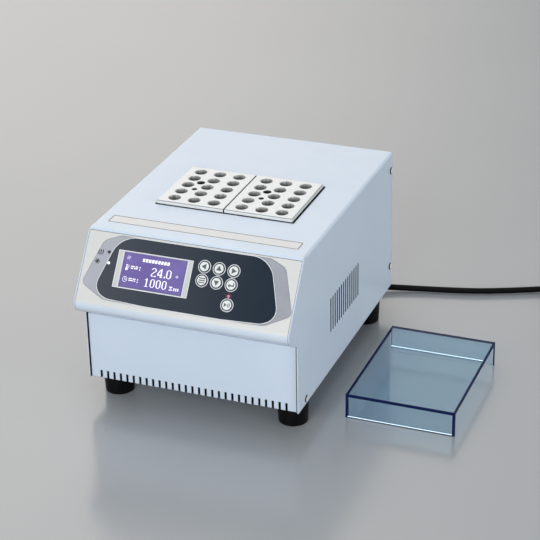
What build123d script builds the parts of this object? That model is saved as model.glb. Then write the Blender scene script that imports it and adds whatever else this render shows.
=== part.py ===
from build123d import *
from math import sin, cos, tan, atan2, radians, degrees, hypot, pi
import os

os.makedirs("parts", exist_ok=True)

# ---------------------------------------------------------------- driving dimensions (mm)
# Row frame: +Z up, bench at z = 0, +X to the instrument's right as seen from the front,
# -Y towards the front. The origin is the centre of the footprint of instrument and lid.
# Instrument frame: x from the instrument's centre line, y from the rear edge of the cover.
ox = -73.75               # instrument centre line in the row frame
oy = 166.40               # rear edge of the cover in the row frame

body_w = 236.0            # width over the cover
sheet = 1.2               # sheet steel
foot_h = 28.0             # the casing's underside above the bench
top_h = 194.3             # top of the cover above the bench
cover_front = 311.0       # front edge of the cover's sides, below the nose
panel_front = 309.0       # lower front panel
feature_x = 0.8           # centre line of block opening and control face

slope_deg = 54.5          # slope of the control face
slope_y, slope_z = -289.6, 192.4   # top edge of the control face
nose_r = 10.0
nose_vertex = (-338.9, 123.2)
notch = (-cover_front, 105.7)

block_w, block_d, block_h = 76.2, 95.5, 50.0
block_gap = 0.4
block_proud = 4.0
block_y = -165.8
block_lift = 70.0
well_pitch_x, well_pitch_y = 22.5, 17.9
well_d, well_depth = 13.2, 42.0
thermo_d, lifting_d = 8.6, 5.6

opening_w, opening_d = 155.2, 99.0

vent_n, vent_w, vent_h, vent_pitch = 14, 3.0, 40.0, 6.85
vent_y, vent_z = -165.8, 92.3
front_slot_n, front_slot_w, front_slot_pitch = 29, 2.0, 7.46

screw_spots = [(-6.0, 174.0), (-6.0, 54.7), (-287.0, 33.6)]   # (y, z) on each side

foot_x, foot_front_y, foot_rear_y = 99.7, -277.5, -39.9
foot_r_top, foot_r_bottom = 17.0, 15.5

key_travel = 0.5
key_cap_d, key_ring_d = 10.4, 13.8
key_cols = [15.2, 31.1, 47.0]
key_rows = [-21.1, -35.4]
start_key = (46.8, -56.1)

lid_x, lid_y = 149.7, -255.6   # front left corner in the instrument frame
lid_w, lid_l, lid_h, lid_t = 117.6, 160.5, 27.5, 3.0

inlet_x, inlet_z = 54.0, 112.0
cord_d = 7.0
cord_length = 1800.0

s54, c54 = sin(radians(slope_deg)), cos(radians(slope_deg))


# ---------------------------------------------------------------- planes
def level(z):
    return Plane(origin=(ox, oy, z), x_dir=(1, 0, 0), z_dir=(0, 0, 1))


def front(y):
    return Plane(origin=(ox, oy + y, 0), x_dir=(1, 0, 0), z_dir=(0, -1, 0))


def rear(y):
    return Plane(origin=(ox, oy + y, 0), x_dir=(-1, 0, 0), z_dir=(0, 1, 0))


def side(x):
    return Plane(origin=(ox + x, oy, 0), x_dir=(0, 1, 0), z_dir=(1, 0, 0))


def face_plane(o=0.0):
    # the control face: local x to the right, local y up the slope, o out of the face
    return Plane(
        origin=(ox + feature_x, oy + slope_y - s54 * o, slope_z + c54 * o),
        x_dir=(1, 0, 0),
        z_dir=(0, -s54, c54),
    )


face_axis = Axis((0, 0, 0), (0, -s54, c54))      # out of the control face


def on_slope(t, o):
    # (y, z) of a point t up the control face and o out of it
    return (slope_y + c54 * t - s54 * o, slope_z + s54 * t + c54 * o)


t = sheet
in_w = body_w - 2 * t     # inside width of the cover
zb, zt = foot_h, top_h
top_vertex_y = slope_y + (zt - slope_z) * c54 / s54

# ---------------------------------------------------------------- casing
# Folded cover: U section with rounded bends, trimmed to the side profile, with a bent
# front lip, the block opening, air slots in both sides and the screw holes.
with BuildPart() as top_cover:
    with BuildSketch(front(0)) as u_section:
        with Locations((0, (zb + zt) / 2)):
            Rectangle(body_w, zt - zb)
        fillet(u_section.vertices().group_by(Axis.Y)[-1], 3.2)
        with Locations((0, (zb + zt - t) / 2)):
            Rectangle(in_w, zt - zb - t, mode=Mode.SUBTRACT)
        fillet(
            u_section.vertices().filter_by(lambda v: abs(abs(v.X) - in_w / 2) < 0.01 and v.Y > zt - 2 * t),
            2.0,
        )
    extrude(amount=350)
    with BuildSketch(side(-130)) as side_profile:
        with BuildLine():
            Polyline(
                (0, zb), (0, zt), (top_vertex_y, zt), nose_vertex, notch, (-cover_front, zb), close=True
            )
        make_face()
        fillet(side_profile.vertices().sort_by(Axis.X)[0], nose_r)
        fillet(side_profile.vertices().group_by(Axis.Y)[-1].sort_by(Axis.X)[0], 5.0)
        fillet(side_profile.vertices().filter_by(lambda v: abs(v.X + cover_front) < 0.01 and v.Y < zb + 1), 1.5)
    extrude(amount=260, mode=Mode.INTERSECT)
    with BuildSketch(side(-in_w / 2)) as lip_section:
        with BuildLine():
            Polyline(
                (-280, zt), (top_vertex_y, zt), on_slope(-0.6, 0), on_slope(-0.6, -t),
                (slope_y + s54 * t - (slope_z - c54 * t - (zt - t)) * c54 / s54, zt - t), (-280, zt - t), close=True
            )
        make_face()
        fillet(lip_section.vertices().filter_by(lambda v: abs(v.Y - zt) < 0.01 and v.X < -281), 2.6)
    extrude(amount=in_w)
    with BuildSketch(level(zt - 5)):
        with Locations((feature_x, block_y)):
            RectangleRounded(opening_w, opening_d, 0.8)
    extrude(amount=10, mode=Mode.SUBTRACT)
    with BuildSketch(side(-130)):
        with Locations((vent_y, vent_z)):
            with GridLocations(vent_pitch, 0, vent_n, 1):
                SlotOverall(vent_h, vent_w, rotation=90)
        with Locations(*screw_spots):
            Circle(2.2)
    extrude(amount=260, mode=Mode.SUBTRACT)
top_cover.part.label = "top_cover"
export_step(top_cover.part, "parts/top_cover.step")

# Bottom pan with the recessed lower front, a return flange on top and two side flanges.
pan_w = in_w - 2.0
front_top = 104.0
with BuildPart() as base_chassis:
    with BuildSketch(side(-pan_w / 2)) as pan_section:
        with BuildLine():
            Polyline(
                (-1.5, zb), (-panel_front, zb), (-panel_front, front_top), (-panel_front + 10, front_top),
                (-panel_front + 10, front_top - t), (-panel_front + t, front_top - t), (-panel_front + t, zb + t),
                (-1.5, zb + t), close=True
            )
        make_face()
        fillet(pan_section.vertices().filter_by(lambda v: abs(v.X + panel_front) < 0.01 and v.Y < zb + 1), 1.8)
        fillet(pan_section.vertices().filter_by(lambda v: abs(v.X + panel_front) < 0.01 and v.Y > zb + 10), 1.6)
    extrude(amount=pan_w)
    with BuildSketch(level(zb + t)):
        for sx in (-1, 1):
            with Locations((sx * (pan_w / 2 - t / 2), -155)):
                Rectangle(t, 296)
    extrude(amount=15)
    # air slots, cut from the front panel round the bend into the underside
    with BuildSketch(front(-300)):
        with Locations((0, (zb - 2 + 37) / 2)):
            with GridLocations(front_slot_pitch, 0, front_slot_n, 1):
                Rectangle(front_slot_w, 37 - zb + 2)
    extrude(amount=20, mode=Mode.SUBTRACT)
    with BuildSketch(level(zb - 2)):
        # fan intake: rows of slots under the fan
        with Locations((feature_x, block_y)):
            with GridLocations(26, 9, 3, 9):
                SlotOverall(22, 4)
        with Locations(
            (foot_x, foot_front_y), (-foot_x, foot_front_y), (foot_x, foot_rear_y), (-foot_x, foot_rear_y)
        ):
            Circle(2.3)
    extrude(amount=5, mode=Mode.SUBTRACT)
    with BuildSketch(side(-130)):
        with Locations(screw_spots[2]):
            Circle(1.75)
    extrude(amount=260, mode=Mode.SUBTRACT)
    with BuildSketch(level(front_top - 5)):
        with Locations((-90, -303.5), (-30, -303.5), (30, -303.5), (90, -303.5)):
            Circle(1.7)
    extrude(amount=10, mode=Mode.SUBTRACT)
base_chassis.part.label = "base_chassis"
export_step(base_chassis.part, "parts/base_chassis.step")

# Rear panel: plate between the cover's sides with forward flanges for the side screws,
# cut-outs for inlet and switch, and an exhaust grille.
rear_y = -1.5
rear_w = in_w - 0.6
with BuildPart() as rear_panel:
    with BuildSketch(rear(rear_y - t)) as rear_sk:
        with Locations((0, (zb + t + zt - t) / 2)):
            Rectangle(rear_w, zt - zb - 2 * t - 0.6)
        fillet(rear_sk.vertices().group_by(Axis.Y)[-1], 2.6)
    extrude(amount=t)
    with BuildSketch(level(48)):
        for sx in (-1, 1):
            with Locations((sx * (rear_w / 2 - t / 2), rear_y - t - 7)):
                Rectangle(t, 14)
    extrude(amount=136)
    with BuildSketch(side(-130)):
        with Locations(*screw_spots[:2]):
            Circle(1.75)
    extrude(amount=260, mode=Mode.SUBTRACT)
    with BuildSketch(rear(rear_y - 10)):
        with Locations((-inlet_x, inlet_z + 7)):
            Rectangle(27.6, 45.0)
        with Locations((-8, inlet_z)):
            Rectangle(19.4, 27.4)
        with Locations((62, 118)):
            with GridLocations(0, 7, 1, 12):
                SlotOverall(62, 3)
    extrude(amount=20, mode=Mode.SUBTRACT)
rear_panel.part.label = "rear_panel"
export_step(rear_panel.part, "parts/rear_panel.step")

# Pan-head screws: three in each side of the cover.
with BuildPart() as cover_screws:
    for sx in (-1, 1):
        pl = Plane(origin=(ox + sx * body_w / 2, oy, 0), x_dir=(0, sx, 0), z_dir=(sx, 0, 0))
        with BuildSketch(pl):
            with Locations(*[(sx * y, z) for y, z in screw_spots]):
                Circle(4.0)
        extrude(amount=1.8)
        with BuildSketch(pl):
            with Locations(*[(sx * y, z) for y, z in screw_spots]):
                Circle(1.7)
        extrude(amount=-6)
    fillet(cover_screws.faces().filter_by(Axis.X).group_by(Axis.X)[-1].edges(), 1.3)
    fillet(cover_screws.faces().filter_by(Axis.X).group_by(Axis.X)[0].edges(), 1.3)
    for sx in (-1, 1):
        pl = Plane(origin=(ox + sx * (body_w / 2 + 0.7), oy, 0), x_dir=(0, sx, 0), z_dir=(sx, 0, 0))
        with BuildSketch(pl):
            with Locations(*[(sx * y, z) for y, z in screw_spots]):
                Rectangle(4.6, 0.9)
                Rectangle(0.9, 4.6)
        extrude(amount=3, mode=Mode.SUBTRACT)
cover_screws.part.label = "cover_screws"
export_step(cover_screws.part, "parts/cover_screws.step")

# Rubber feet: tapered, screwed up into the pan, with a recess for the screw head.
feet_xy = [(foot_x, foot_front_y), (-foot_x, foot_front_y), (foot_x, foot_rear_y), (-foot_x, foot_rear_y)]
with BuildPart() as rubber_feet:
    for px_, py_ in feet_xy:
        with BuildSketch(side(px_)) as foot_half:
            with BuildLine():
                Polyline(
                    (py_ + 2.3, foot_h), (py_ + foot_r_top, foot_h), (py_ + foot_r_bottom, 0), (py_ + 5.5, 0),
                    (py_ + 5.5, 12), (py_ + 2.3, 12), close=True
                )
            make_face()
            fillet(foot_half.vertices().filter_by(lambda v: v.X > py_ + 15 and v.Y < 1), 1.0)
            fillet(foot_half.vertices().filter_by(lambda v: v.X > py_ + 15 and v.Y > 10), 0.8)
        revolve(axis=Axis((ox + px_, oy + py_, 0), (0, 0, 1)), revolution_arc=360)
rubber_feet.part.label = "rubber_feet"
export_step(rubber_feet.part, "parts/rubber_feet.step")

with BuildPart() as foot_screws:
    with BuildSketch(level(9)):
        with Locations(*feet_xy):
            Circle(4.2)
    extrude(amount=3)
    with BuildSketch(level(9)):
        with Locations(*feet_xy):
            Circle(2.2)
    extrude(amount=27)
    with BuildSketch(level(9)):
        with Locations(*feet_xy):
            Rectangle(5.2, 1.0)
            Rectangle(1.0, 5.2)
    extrude(amount=1.6, mode=Mode.SUBTRACT)
foot_screws.part.label = "foot_screws"
export_step(foot_screws.part, "parts/foot_screws.step")

with BuildPart() as foot_nuts:
    with BuildSketch(level(zb + t)):
        with Locations(*feet_xy):
            RegularPolygon(4.3, 6)
            Circle(2.25, mode=Mode.SUBTRACT)
    extrude(amount=3.4)
foot_nuts.part.label = "foot_nuts"
export_step(foot_nuts.part, "parts/foot_nuts.step")

# ---------------------------------------------------------------- front bezel and control face
# Outlines on the control face, as half outlines about a line a little right of centre.
outline_cx = 0.7
overlay_half = [(82.8, -2.6), (101.5, -61.8), (85.0, -69.6), (42.3, -71.4)]
inlay_half = [(82.1, -2.6), (99.7, -9.9), (115.7, -56.7), (88.0, -70.8), (60.0, -71.2)]


def outline(half):
    return [(outline_cx + x, y) for x, y in half] + [(outline_cx - x, y) for x, y in reversed(half)]


def overlay_outline(grow=0.0):
    (ax, ay), (bx, by), (cx, cy), (dx, dy) = overlay_half
    g = grow
    return outline([(ax + g, ay + g), (bx + g, by - g * 0.6), (cx + g * 0.5, cy - g), (dx, dy - g)])


def inlay_outline(shrink=0.0):
    g = shrink
    (ax, ay), (bx, by), (cx, cy), (dx, dy), (ex, ey) = inlay_half
    return outline([(ax - g, ay - g), (bx - g, by - g), (cx - g, cy + g * 0.5), (dx - g, dy + g), (ex, ey + g)])


def round_outline(sk, half, radii):
    # rounds the corners of an outline: sk is the sketch, half its right-hand corners
    for (x, y), r in zip(half, radii):
        if r:
            fillet(sk.vertices().filter_by(lambda v: abs(v.Y - y) < 0.02 and abs(abs(v.X - outline_cx) - x) < 0.02), r)


overlay_radii = [27, 14, 16, 0]
inlay_radii = [10, 11, 7, 20, 0]
face_wall = 3.0
pocket = 1.5
bez_w = in_w - 0.8
lcd_w, lcd_h, lcd_cx, lcd_cy = 83.2, 39.4, -39.0, -36.4
disp_w, disp_h = 69.8, 36.4
keys_at = {
    "key_left": (key_cols[0], key_rows[0]),
    "key_up": (key_cols[1], key_rows[0]),
    "key_right": (key_cols[2], key_rows[0]),
    "key_menu": (key_cols[0], key_rows[1]),
    "key_down": (key_cols[1], key_rows[1]),
    "key_enter": (key_cols[2], key_rows[1]),
    "key_start": start_key,
}
lamps_at = {"lamp_heating": (-91.0, -21.2), "lamp_cooling": (-89.2, -32.4), "lamp_run": (46.4, -46.9)}
key_spots = list(keys_at.values())
lamp_spots = list(lamps_at.values())
bez_top = on_slope(-1.0, 0)
bez_top_in = on_slope(-1.0, -face_wall)
under_dir = (notch[0] - nose_vertex[0], notch[1] - nose_vertex[1])
under_len = hypot(*under_dir)
under_n = (-under_dir[1] / under_len, under_dir[0] / under_len)     # inward normal of the underside
lip_z = 104.6
lip_y = notch[0] + (notch[1] - lip_z) * under_dir[0] / -under_dir[1]
# inner vertex: offset lines of slope and underside meet here
in_slope_p = on_slope(0, -face_wall)
in_under_p = (nose_vertex[0] + under_n[0] * face_wall, nose_vertex[1] + under_n[1] * face_wall)
m_s = s54 / c54
m_u = under_dir[1] / under_dir[0]
in_vy = (in_under_p[1] - in_slope_p[1] + m_s * in_slope_p[0] - m_u * in_under_p[0]) / (m_s - m_u)
in_vz = in_slope_p[1] + m_s * (in_vy - in_slope_p[0])
in_lip_z = lip_z + 2.6
in_lip_y = in_under_p[0] + (in_lip_z - in_under_p[1]) / m_u
with BuildPart() as front_bezel:
    with BuildSketch(side(-bez_w / 2)) as bez_outer:
        with BuildLine():
            Polyline(bez_top, nose_vertex, (lip_y, lip_z), (-299.5, lip_z), bez_top_in, close=True)
        make_face()
        fillet(bez_outer.vertices().sort_by(Axis.X)[0], nose_r)
    extrude(amount=bez_w)
    with BuildSketch(side(-bez_w / 2 + 2.5)) as bez_inner:
        with BuildLine():
            Polyline(
                on_slope(-4.0, -face_wall), (in_vy, in_vz), (in_lip_y, in_lip_z), (-280, in_lip_z), (-280, on_slope(-4.0, -face_wall)[1]),
                close=True
            )
        make_face()
        fillet(bez_inner.vertices().sort_by(Axis.X)[0], nose_r - face_wall)
    extrude(amount=bez_w - 5, mode=Mode.SUBTRACT)
    with BuildSketch(face_plane(-pocket)) as bez_pocket:
        with BuildLine():
            Polyline(*inlay_outline(), close=True)
        make_face()
        round_outline(bez_pocket, inlay_half, inlay_radii)
    extrude(amount=6, mode=Mode.SUBTRACT)
    with BuildSketch(face_plane(-pocket)) as bez_pocket_2:
        with BuildLine():
            Polyline(*overlay_outline(0.2), close=True)
        make_face()
        round_outline(bez_pocket_2, [(x - outline_cx, y) for x, y in overlay_outline(0.2)[:4]], overlay_radii)
    extrude(amount=6, mode=Mode.SUBTRACT)
    with BuildSketch(face_plane(-8)):
        with Locations((lcd_cx, lcd_cy)):
            Rectangle(lcd_w - 1.6, lcd_h - 1.0)
        with Locations(*key_spots):
            Circle(3.4)
        with Locations(*lamp_spots):
            Circle(1.6)
    extrude(amount=12, mode=Mode.SUBTRACT)
    with BuildSketch(level(lip_z - 1)):
        with Locations((-90, -303.5), (-30, -303.5), (30, -303.5), (90, -303.5)):
            Circle(1.55)
    extrude(amount=3.7, mode=Mode.SUBTRACT)
front_bezel.part.label = "front_bezel"
export_step(front_bezel.part, "parts/front_bezel.step")

with BuildPart() as bezel_screws:
    with BuildSketch(level(front_top - t - 2.2)):
        with Locations((-90, -303.5), (-30, -303.5), (30, -303.5), (90, -303.5)):
            Circle(2.8)
    extrude(amount=2.2)
    with BuildSketch(level(front_top - t)):
        with Locations((-90, -303.5), (-30, -303.5), (30, -303.5), (90, -303.5)):
            Circle(1.5)
    extrude(amount=8)
bezel_screws.part.label = "bezel_screws"
export_step(bezel_screws.part, "parts/bezel_screws.step")

# Grey inlay let into the bezel, around the overlay.
with BuildPart() as grey_inlay:
    with BuildSketch(face_plane(-pocket)) as inlay_sk:
        with BuildLine():
            Polyline(*inlay_outline(0.25), close=True)
        make_face()
        round_outline(inlay_sk, [(x - outline_cx, y) for x, y in inlay_outline(0.25)[:5]], inlay_radii)
        with Locations(lamps_at["lamp_heating"]):
            Circle(1.7, mode=Mode.SUBTRACT)
    extrude(amount=1.2)
    with BuildSketch(face_plane(-pocket - 1)) as inlay_cut:
        with BuildLine():
            Polyline(*overlay_outline(0.2), close=True)
        make_face()
        round_outline(inlay_cut, [(x - outline_cx, y) for x, y in overlay_outline(0.2)[:4]], overlay_radii)
    extrude(amount=4, mode=Mode.SUBTRACT)
grey_inlay.part.label = "grey_inlay"
export_step(grey_inlay.part, "parts/grey_inlay.step")

# Dark overlay with the display window and key holes.
overlay_o = 0.0
with BuildPart() as control_overlay:
    with BuildSketch(face_plane(-pocket)) as overlay_sk:
        with BuildLine():
            Polyline(*overlay_outline(), close=True)
        make_face()
        round_outline(overlay_sk, overlay_half, overlay_radii)
    extrude(amount=pocket + overlay_o)
    with BuildSketch(face_plane(-pocket - 1)):
        with Locations((lcd_cx, lcd_cy)):
            Rectangle(lcd_w, lcd_h)
        with Locations(*key_spots):
            Circle(key_cap_d / 2 + 0.35)
        with Locations(lamps_at["lamp_cooling"], lamps_at["lamp_run"]):
            Circle(1.65)
    extrude(amount=4, mode=Mode.SUBTRACT)
control_overlay.part.label = "control_overlay"
export_step(control_overlay.part, "parts/control_overlay.step")

# Display: ivory surround, glass and the module behind it.
with BuildPart() as lcd_frame:
    with BuildSketch(face_plane(-pocket)):
        with Locations((lcd_cx, lcd_cy)):
            Rectangle(lcd_w - 0.3, lcd_h - 0.3)
            Rectangle(disp_w, disp_h, mode=Mode.SUBTRACT)
    extrude(amount=pocket - 0.3)
    chamfer(lcd_frame.faces().sort_by(face_axis)[-1].inner_wires()[0].edges(), 0.4)
lcd_frame.part.label = "lcd_frame"
export_step(lcd_frame.part, "parts/lcd_frame.step")

with BuildPart() as lcd_display:
    with BuildSketch(face_plane(-pocket - 1.4)):
        with Locations((lcd_cx, lcd_cy)):
            Rectangle(disp_w - 0.3, disp_h - 0.3)
    extrude(amount=2.2)
lcd_display.part.label = "lcd_display"
export_step(lcd_display.part, "parts/lcd_display.step")

with BuildPart() as lcd_module:
    with BuildSketch(face_plane(-9.0)):
        with Locations((lcd_cx, lcd_cy)):
            Rectangle(96, 52)
    extrude(amount=1.6)
    with BuildSketch(face_plane(-7.4)):
        with Locations((lcd_cx, lcd_cy)):
            Rectangle(78, 38)
    extrude(amount=4.3)
    with BuildSketch(face_plane(-9.5)):
        with Locations((lcd_cx, lcd_cy)):
            with GridLocations(90, 46, 2, 2):
                Circle(1.3)
    extrude(amount=3, mode=Mode.SUBTRACT)
lcd_module.part.label = "lcd_module"
export_step(lcd_module.part, "parts/lcd_module.step")

# Keys: a round cap in the overlay's hole and a stem through the bezel to the switch behind.
for name, (kx, ky) in keys_at.items():
    with BuildPart() as key:
        with BuildSketch(face_plane(-0.7)):
            with Locations((kx, ky)):
                Circle(key_cap_d / 2)
        extrude(amount=1.5)
        fillet(key.faces().sort_by(face_axis)[-1].edges(), 0.45)
        with BuildSketch(face_plane(-0.7)):
            with Locations((kx, ky)):
                Circle(2.9)
        extrude(amount=-6.8)
    key.part.label = name
    export_step(key.part, "parts/" + name + ".step")

with BuildPart() as key_rings:
    with BuildSketch(face_plane(overlay_o)):
        with Locations(*key_spots):
            Circle(key_ring_d / 2)
            Circle(key_ring_d / 2 - 1.05, mode=Mode.SUBTRACT)
    extrude(amount=0.25)
key_rings.part.label = "key_rings"
export_step(key_rings.part, "parts/key_rings.step")

for name, (kx, ky) in lamps_at.items():
    base_o = -0.3 if name == "lamp_heating" else 0.0
    with BuildPart() as lamp:
        with BuildSketch(face_plane(-9.0)):
            with Locations((kx, ky)):
                Circle(1.45)
        extrude(amount=9.0 + base_o + 0.7)
        fillet(lamp.faces().sort_by(face_axis)[-1].edges(), 0.9)
    lamp.part.label = name
    export_step(lamp.part, "parts/" + name + ".step")

# Control board behind the face, its switches and standoffs.
board_o = -13.5
with BuildPart() as control_board:
    with BuildSketch(face_plane(board_o)):
        with Locations((0, -36)):
            Rectangle(200, 62)
            with GridLocations(190, 54, 2, 2):
                Circle(1.6, mode=Mode.SUBTRACT)
    extrude(amount=1.6)
control_board.part.label = "control_board"
export_step(control_board.part, "parts/control_board.step")

with BuildPart() as key_switches:
    with BuildSketch(face_plane(board_o + 1.6)):
        with Locations(*key_spots):
            Rectangle(6, 6)
    extrude(amount=2.2)
    with BuildSketch(face_plane(board_o + 3.8)):
        with Locations(*key_spots):
            Circle(1.7)
    extrude(amount=1.3)
key_switches.part.label = "key_switches"
export_step(key_switches.part, "parts/key_switches.step")

with BuildPart() as board_standoffs:
    with BuildSketch(face_plane(board_o + 1.6)):
        with Locations((0, -36)):
            with GridLocations(190, 54, 2, 2):
                RegularPolygon(2.9, 6)
    extrude(amount=-board_o - 1.6 - face_wall)
board_standoffs.part.label = "board_standoffs"
export_step(board_standoffs.part, "parts/board_standoffs.step")

# Outlined strip on the cover in front of the blocks.
with BuildPart() as label_strip:
    with BuildSketch(level(zt)):
        with Locations((feature_x - 0.8, -263.6)):
            RectangleRounded(211.4, 17.2, 2.2)
    extrude(amount=0.2)
label_strip.part.label = "label_strip"
export_step(label_strip.part, "parts/label_strip.step")

# ---------------------------------------------------------------- tube blocks
block_top = zt + block_proud
block_bottom = block_top - block_h
for name, sx in (("block_left", -1), ("block_right", 1)):
    cx = feature_x + sx * (block_w + block_gap) / 2
    with BuildPart() as block:
        with BuildSketch(level(block_bottom)):
            with Locations((cx, block_y)):
                RectangleRounded(block_w, block_d, 0.8)
        extrude(amount=block_h)
        chamfer(block.faces().sort_by(Axis.Z)[-1].edges(), 0.7)
        with BuildSketch(level(block_top)):
            with Locations((cx, block_y)):
                with GridLocations(well_pitch_x, well_pitch_y, 3, 5):
                    Circle(well_d / 2)
        extrude(amount=-well_depth, mode=Mode.SUBTRACT)
        with BuildSketch(level(block_top)):
            with Locations((cx - well_pitch_x / 2, block_y + well_pitch_y / 2)):
                Circle(thermo_d / 2)
        extrude(amount=-40, mode=Mode.SUBTRACT)
        with BuildSketch(level(block_top)):
            with Locations((cx - well_pitch_x / 2, block_y - well_pitch_y / 2)):
                Circle(lifting_d / 2)
        extrude(amount=-14, mode=Mode.SUBTRACT)
        mouths = block.edges().filter_by(GeomType.CIRCLE).filter_by(
            lambda e: abs(e.center().Z - block_top) < 0.01 and e.radius > 2
        )
        chamfer(mouths, 0.3)
        floors = block.edges().filter_by(GeomType.CIRCLE).filter_by(
            lambda e: abs(e.center().Z - (block_top - well_depth)) < 0.01 and e.radius > 5
        )
        fillet(floors, 3.0)
    block.part.label = name
    export_step(block.part, "parts/" + name + ".step")

# ---------------------------------------------------------------- cooling and heating stack
plate_t = 8.0
with BuildPart() as thermal_plate:
    with BuildSketch(level(block_bottom - plate_t)):
        with Locations((feature_x, block_y)):
            RectangleRounded(156, 99, 2)
            with GridLocations(140, 88, 2, 2):
                Circle(2.15, mode=Mode.SUBTRACT)
    extrude(amount=plate_t)
    with BuildSketch(side(feature_x - 80)):
        with Locations((block_y, block_bottom - 4)):
            Circle(2.1)
    extrude(amount=45, mode=Mode.SUBTRACT)
thermal_plate.part.label = "thermal_plate"
export_step(thermal_plate.part, "parts/thermal_plate.step")

with BuildPart() as insulation_collar:
    with BuildSketch(level(block_bottom + 0.3)):
        with Locations((feature_x, block_y)):
            RectangleRounded(182, 124, 6)
            Rectangle(154.2, 97.0, mode=Mode.SUBTRACT)
    extrude(amount=zt - t - 0.3 - block_bottom - 0.3)
insulation_collar.part.label = "insulation_collar"
export_step(insulation_collar.part, "parts/insulation_collar.step")

module_t = 3.8
module_z = block_bottom - plate_t - module_t
module_spots = [(feature_x + x, block_y + y) for x in (-44, 44) for y in (-23, 23)]
with BuildPart() as peltier_modules:
    with BuildSketch(level(module_z)):
        with Locations(*module_spots):
            Rectangle(40, 40)
    extrude(amount=module_t)
peltier_modules.part.label = "peltier_modules"
export_step(peltier_modules.part, "parts/peltier_modules.step")

with BuildPart() as module_gasket:
    with BuildSketch(level(module_z + 0.3)):
        with Locations((feature_x, block_y)):
            RectangleRounded(156, 99, 2)
            with GridLocations(140, 88, 2, 2):
                Circle(2.6, mode=Mode.SUBTRACT)
        with Locations(*module_spots):
            Rectangle(40.6, 40.6, mode=Mode.SUBTRACT)
    extrude(amount=module_t - 0.6)
module_gasket.part.label = "module_gasket"
export_step(module_gasket.part, "parts/module_gasket.step")

sink_base_t, fin_h, fin_t, fin_pitch, fin_n = 8.0, 40.0, 2.0, 5.5, 19
sink_z = module_z - sink_base_t
with BuildPart() as heat_sink:
    with BuildSketch(level(sink_z)):
        with Locations((feature_x, block_y)):
            Rectangle(166, 104)
    extrude(amount=sink_base_t)
    with BuildSketch(level(sink_z)):
        with Locations((feature_x, block_y)):
            with GridLocations(0, fin_pitch, 1, fin_n):
                Rectangle(132, fin_t)
    extrude(amount=-fin_h)
    with BuildSketch(level(sink_z - 1)):
        with Locations((feature_x, block_y)):
            with GridLocations(140, 88, 2, 2):
                Circle(1.85)
            with GridLocations(82.5, 82.5, 2, 2):
                Circle(1.45)
    extrude(amount=sink_base_t + 2, mode=Mode.SUBTRACT)
heat_sink.part.label = "heat_sink"
export_step(heat_sink.part, "parts/heat_sink.step")

with BuildPart() as plate_screws:
    with BuildSketch(level(sink_z - 3)):
        with Locations((feature_x, block_y)):
            with GridLocations(140, 88, 2, 2):
                Circle(3.5)
    extrude(amount=3)
    with BuildSketch(level(sink_z - 3)):
        with Locations((feature_x, block_y)):
            with GridLocations(140, 88, 2, 2):
                Circle(1.8)
    extrude(amount=3 + sink_base_t + module_t + plate_t - 1)
plate_screws.part.label = "plate_screws"
export_step(plate_screws.part, "parts/plate_screws.step")

# Axial fan under the fins, blowing up between them and out through the side slots.
fan_s, fan_t = 92.0, 25.0
fan_z = sink_z - fin_h - 1.0 - fan_t
with BuildPart() as fan_frame:
    with BuildSketch(level(fan_z)):
        with Locations((feature_x, block_y)):
            RectangleRounded(fan_s, fan_s, 4)
            Circle(43.5, mode=Mode.SUBTRACT)
            with GridLocations(82.5, 82.5, 2, 2):
                Circle(1.75, mode=Mode.SUBTRACT)
    extrude(amount=fan_t)
    with BuildSketch(level(fan_z)):
        with Locations((feature_x, block_y)):
            Circle(18.5)
            with PolarLocations(30.5, 4, start_angle=20):
                Rectangle(27, 5)
    extrude(amount=3)
    with BuildSketch(level(fan_z + 3)):
        with Locations((feature_x, block_y)):
            Circle(3.0)
    extrude(amount=10)
fan_frame.part.label = "fan_frame"
export_step(fan_frame.part, "parts/fan_frame.step")

with BuildPart() as fan_rotor:
    with BuildSketch(level(fan_z + 4)):
        with Locations((feature_x, block_y)):
            Circle(18)
    extrude(amount=19)
    fillet(fan_rotor.faces().sort_by(Axis.Z)[-1].edges(), 2.0)
    for i in range(7):
        a = 360 * i / 7
        blade_plane = Plane(
            origin=(ox + feature_x + 17.0 * cos(radians(a)), oy + block_y + 17.0 * sin(radians(a)), fan_z + 13.5),
            x_dir=(-sin(radians(a)), cos(radians(a)), 0),
            z_dir=(cos(radians(a)), sin(radians(a)), 0),
        )
        with BuildSketch(blade_plane):
            Rectangle(19, 1.6, rotation=38)
        extrude(amount=24.5)
    with BuildSketch(level(fan_z + 4)):
        with Locations((feature_x, block_y)):
            Circle(3.05)
    extrude(amount=12, mode=Mode.SUBTRACT)
fan_rotor.part.label = "fan_rotor"
export_step(fan_rotor.part, "parts/fan_rotor.step")

with BuildPart() as fan_screws:
    with BuildSketch(level(fan_z - 2.4)):
        with Locations((feature_x, block_y)):
            with GridLocations(82.5, 82.5, 2, 2):
                Circle(3.0)
    extrude(amount=2.4)
    with BuildSketch(level(fan_z)):
        with Locations((feature_x, block_y)):
            with GridLocations(82.5, 82.5, 2, 2):
                Circle(1.4)
    extrude(amount=fan_t + 1 + fin_h + 6)
fan_screws.part.label = "fan_screws"
export_step(fan_screws.part, "parts/fan_screws.step")

with BuildPart() as sink_posts:
    with BuildSketch(level(zb + t)):
        with Locations((feature_x, block_y)):
            with GridLocations(150, 64, 2, 2):
                RegularPolygon(4.2, 6)
    extrude(amount=sink_z - zb - t)
sink_posts.part.label = "sink_posts"
export_step(sink_posts.part, "parts/sink_posts.step")

with BuildPart() as temperature_probe:
    with BuildSketch(side(feature_x - 86)):
        with Locations((block_y, block_bottom - 4)):
            Circle(2.0)
    extrude(amount=48)
temperature_probe.part.label = "temperature_probe"
export_step(temperature_probe.part, "parts/temperature_probe.step")

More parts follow.
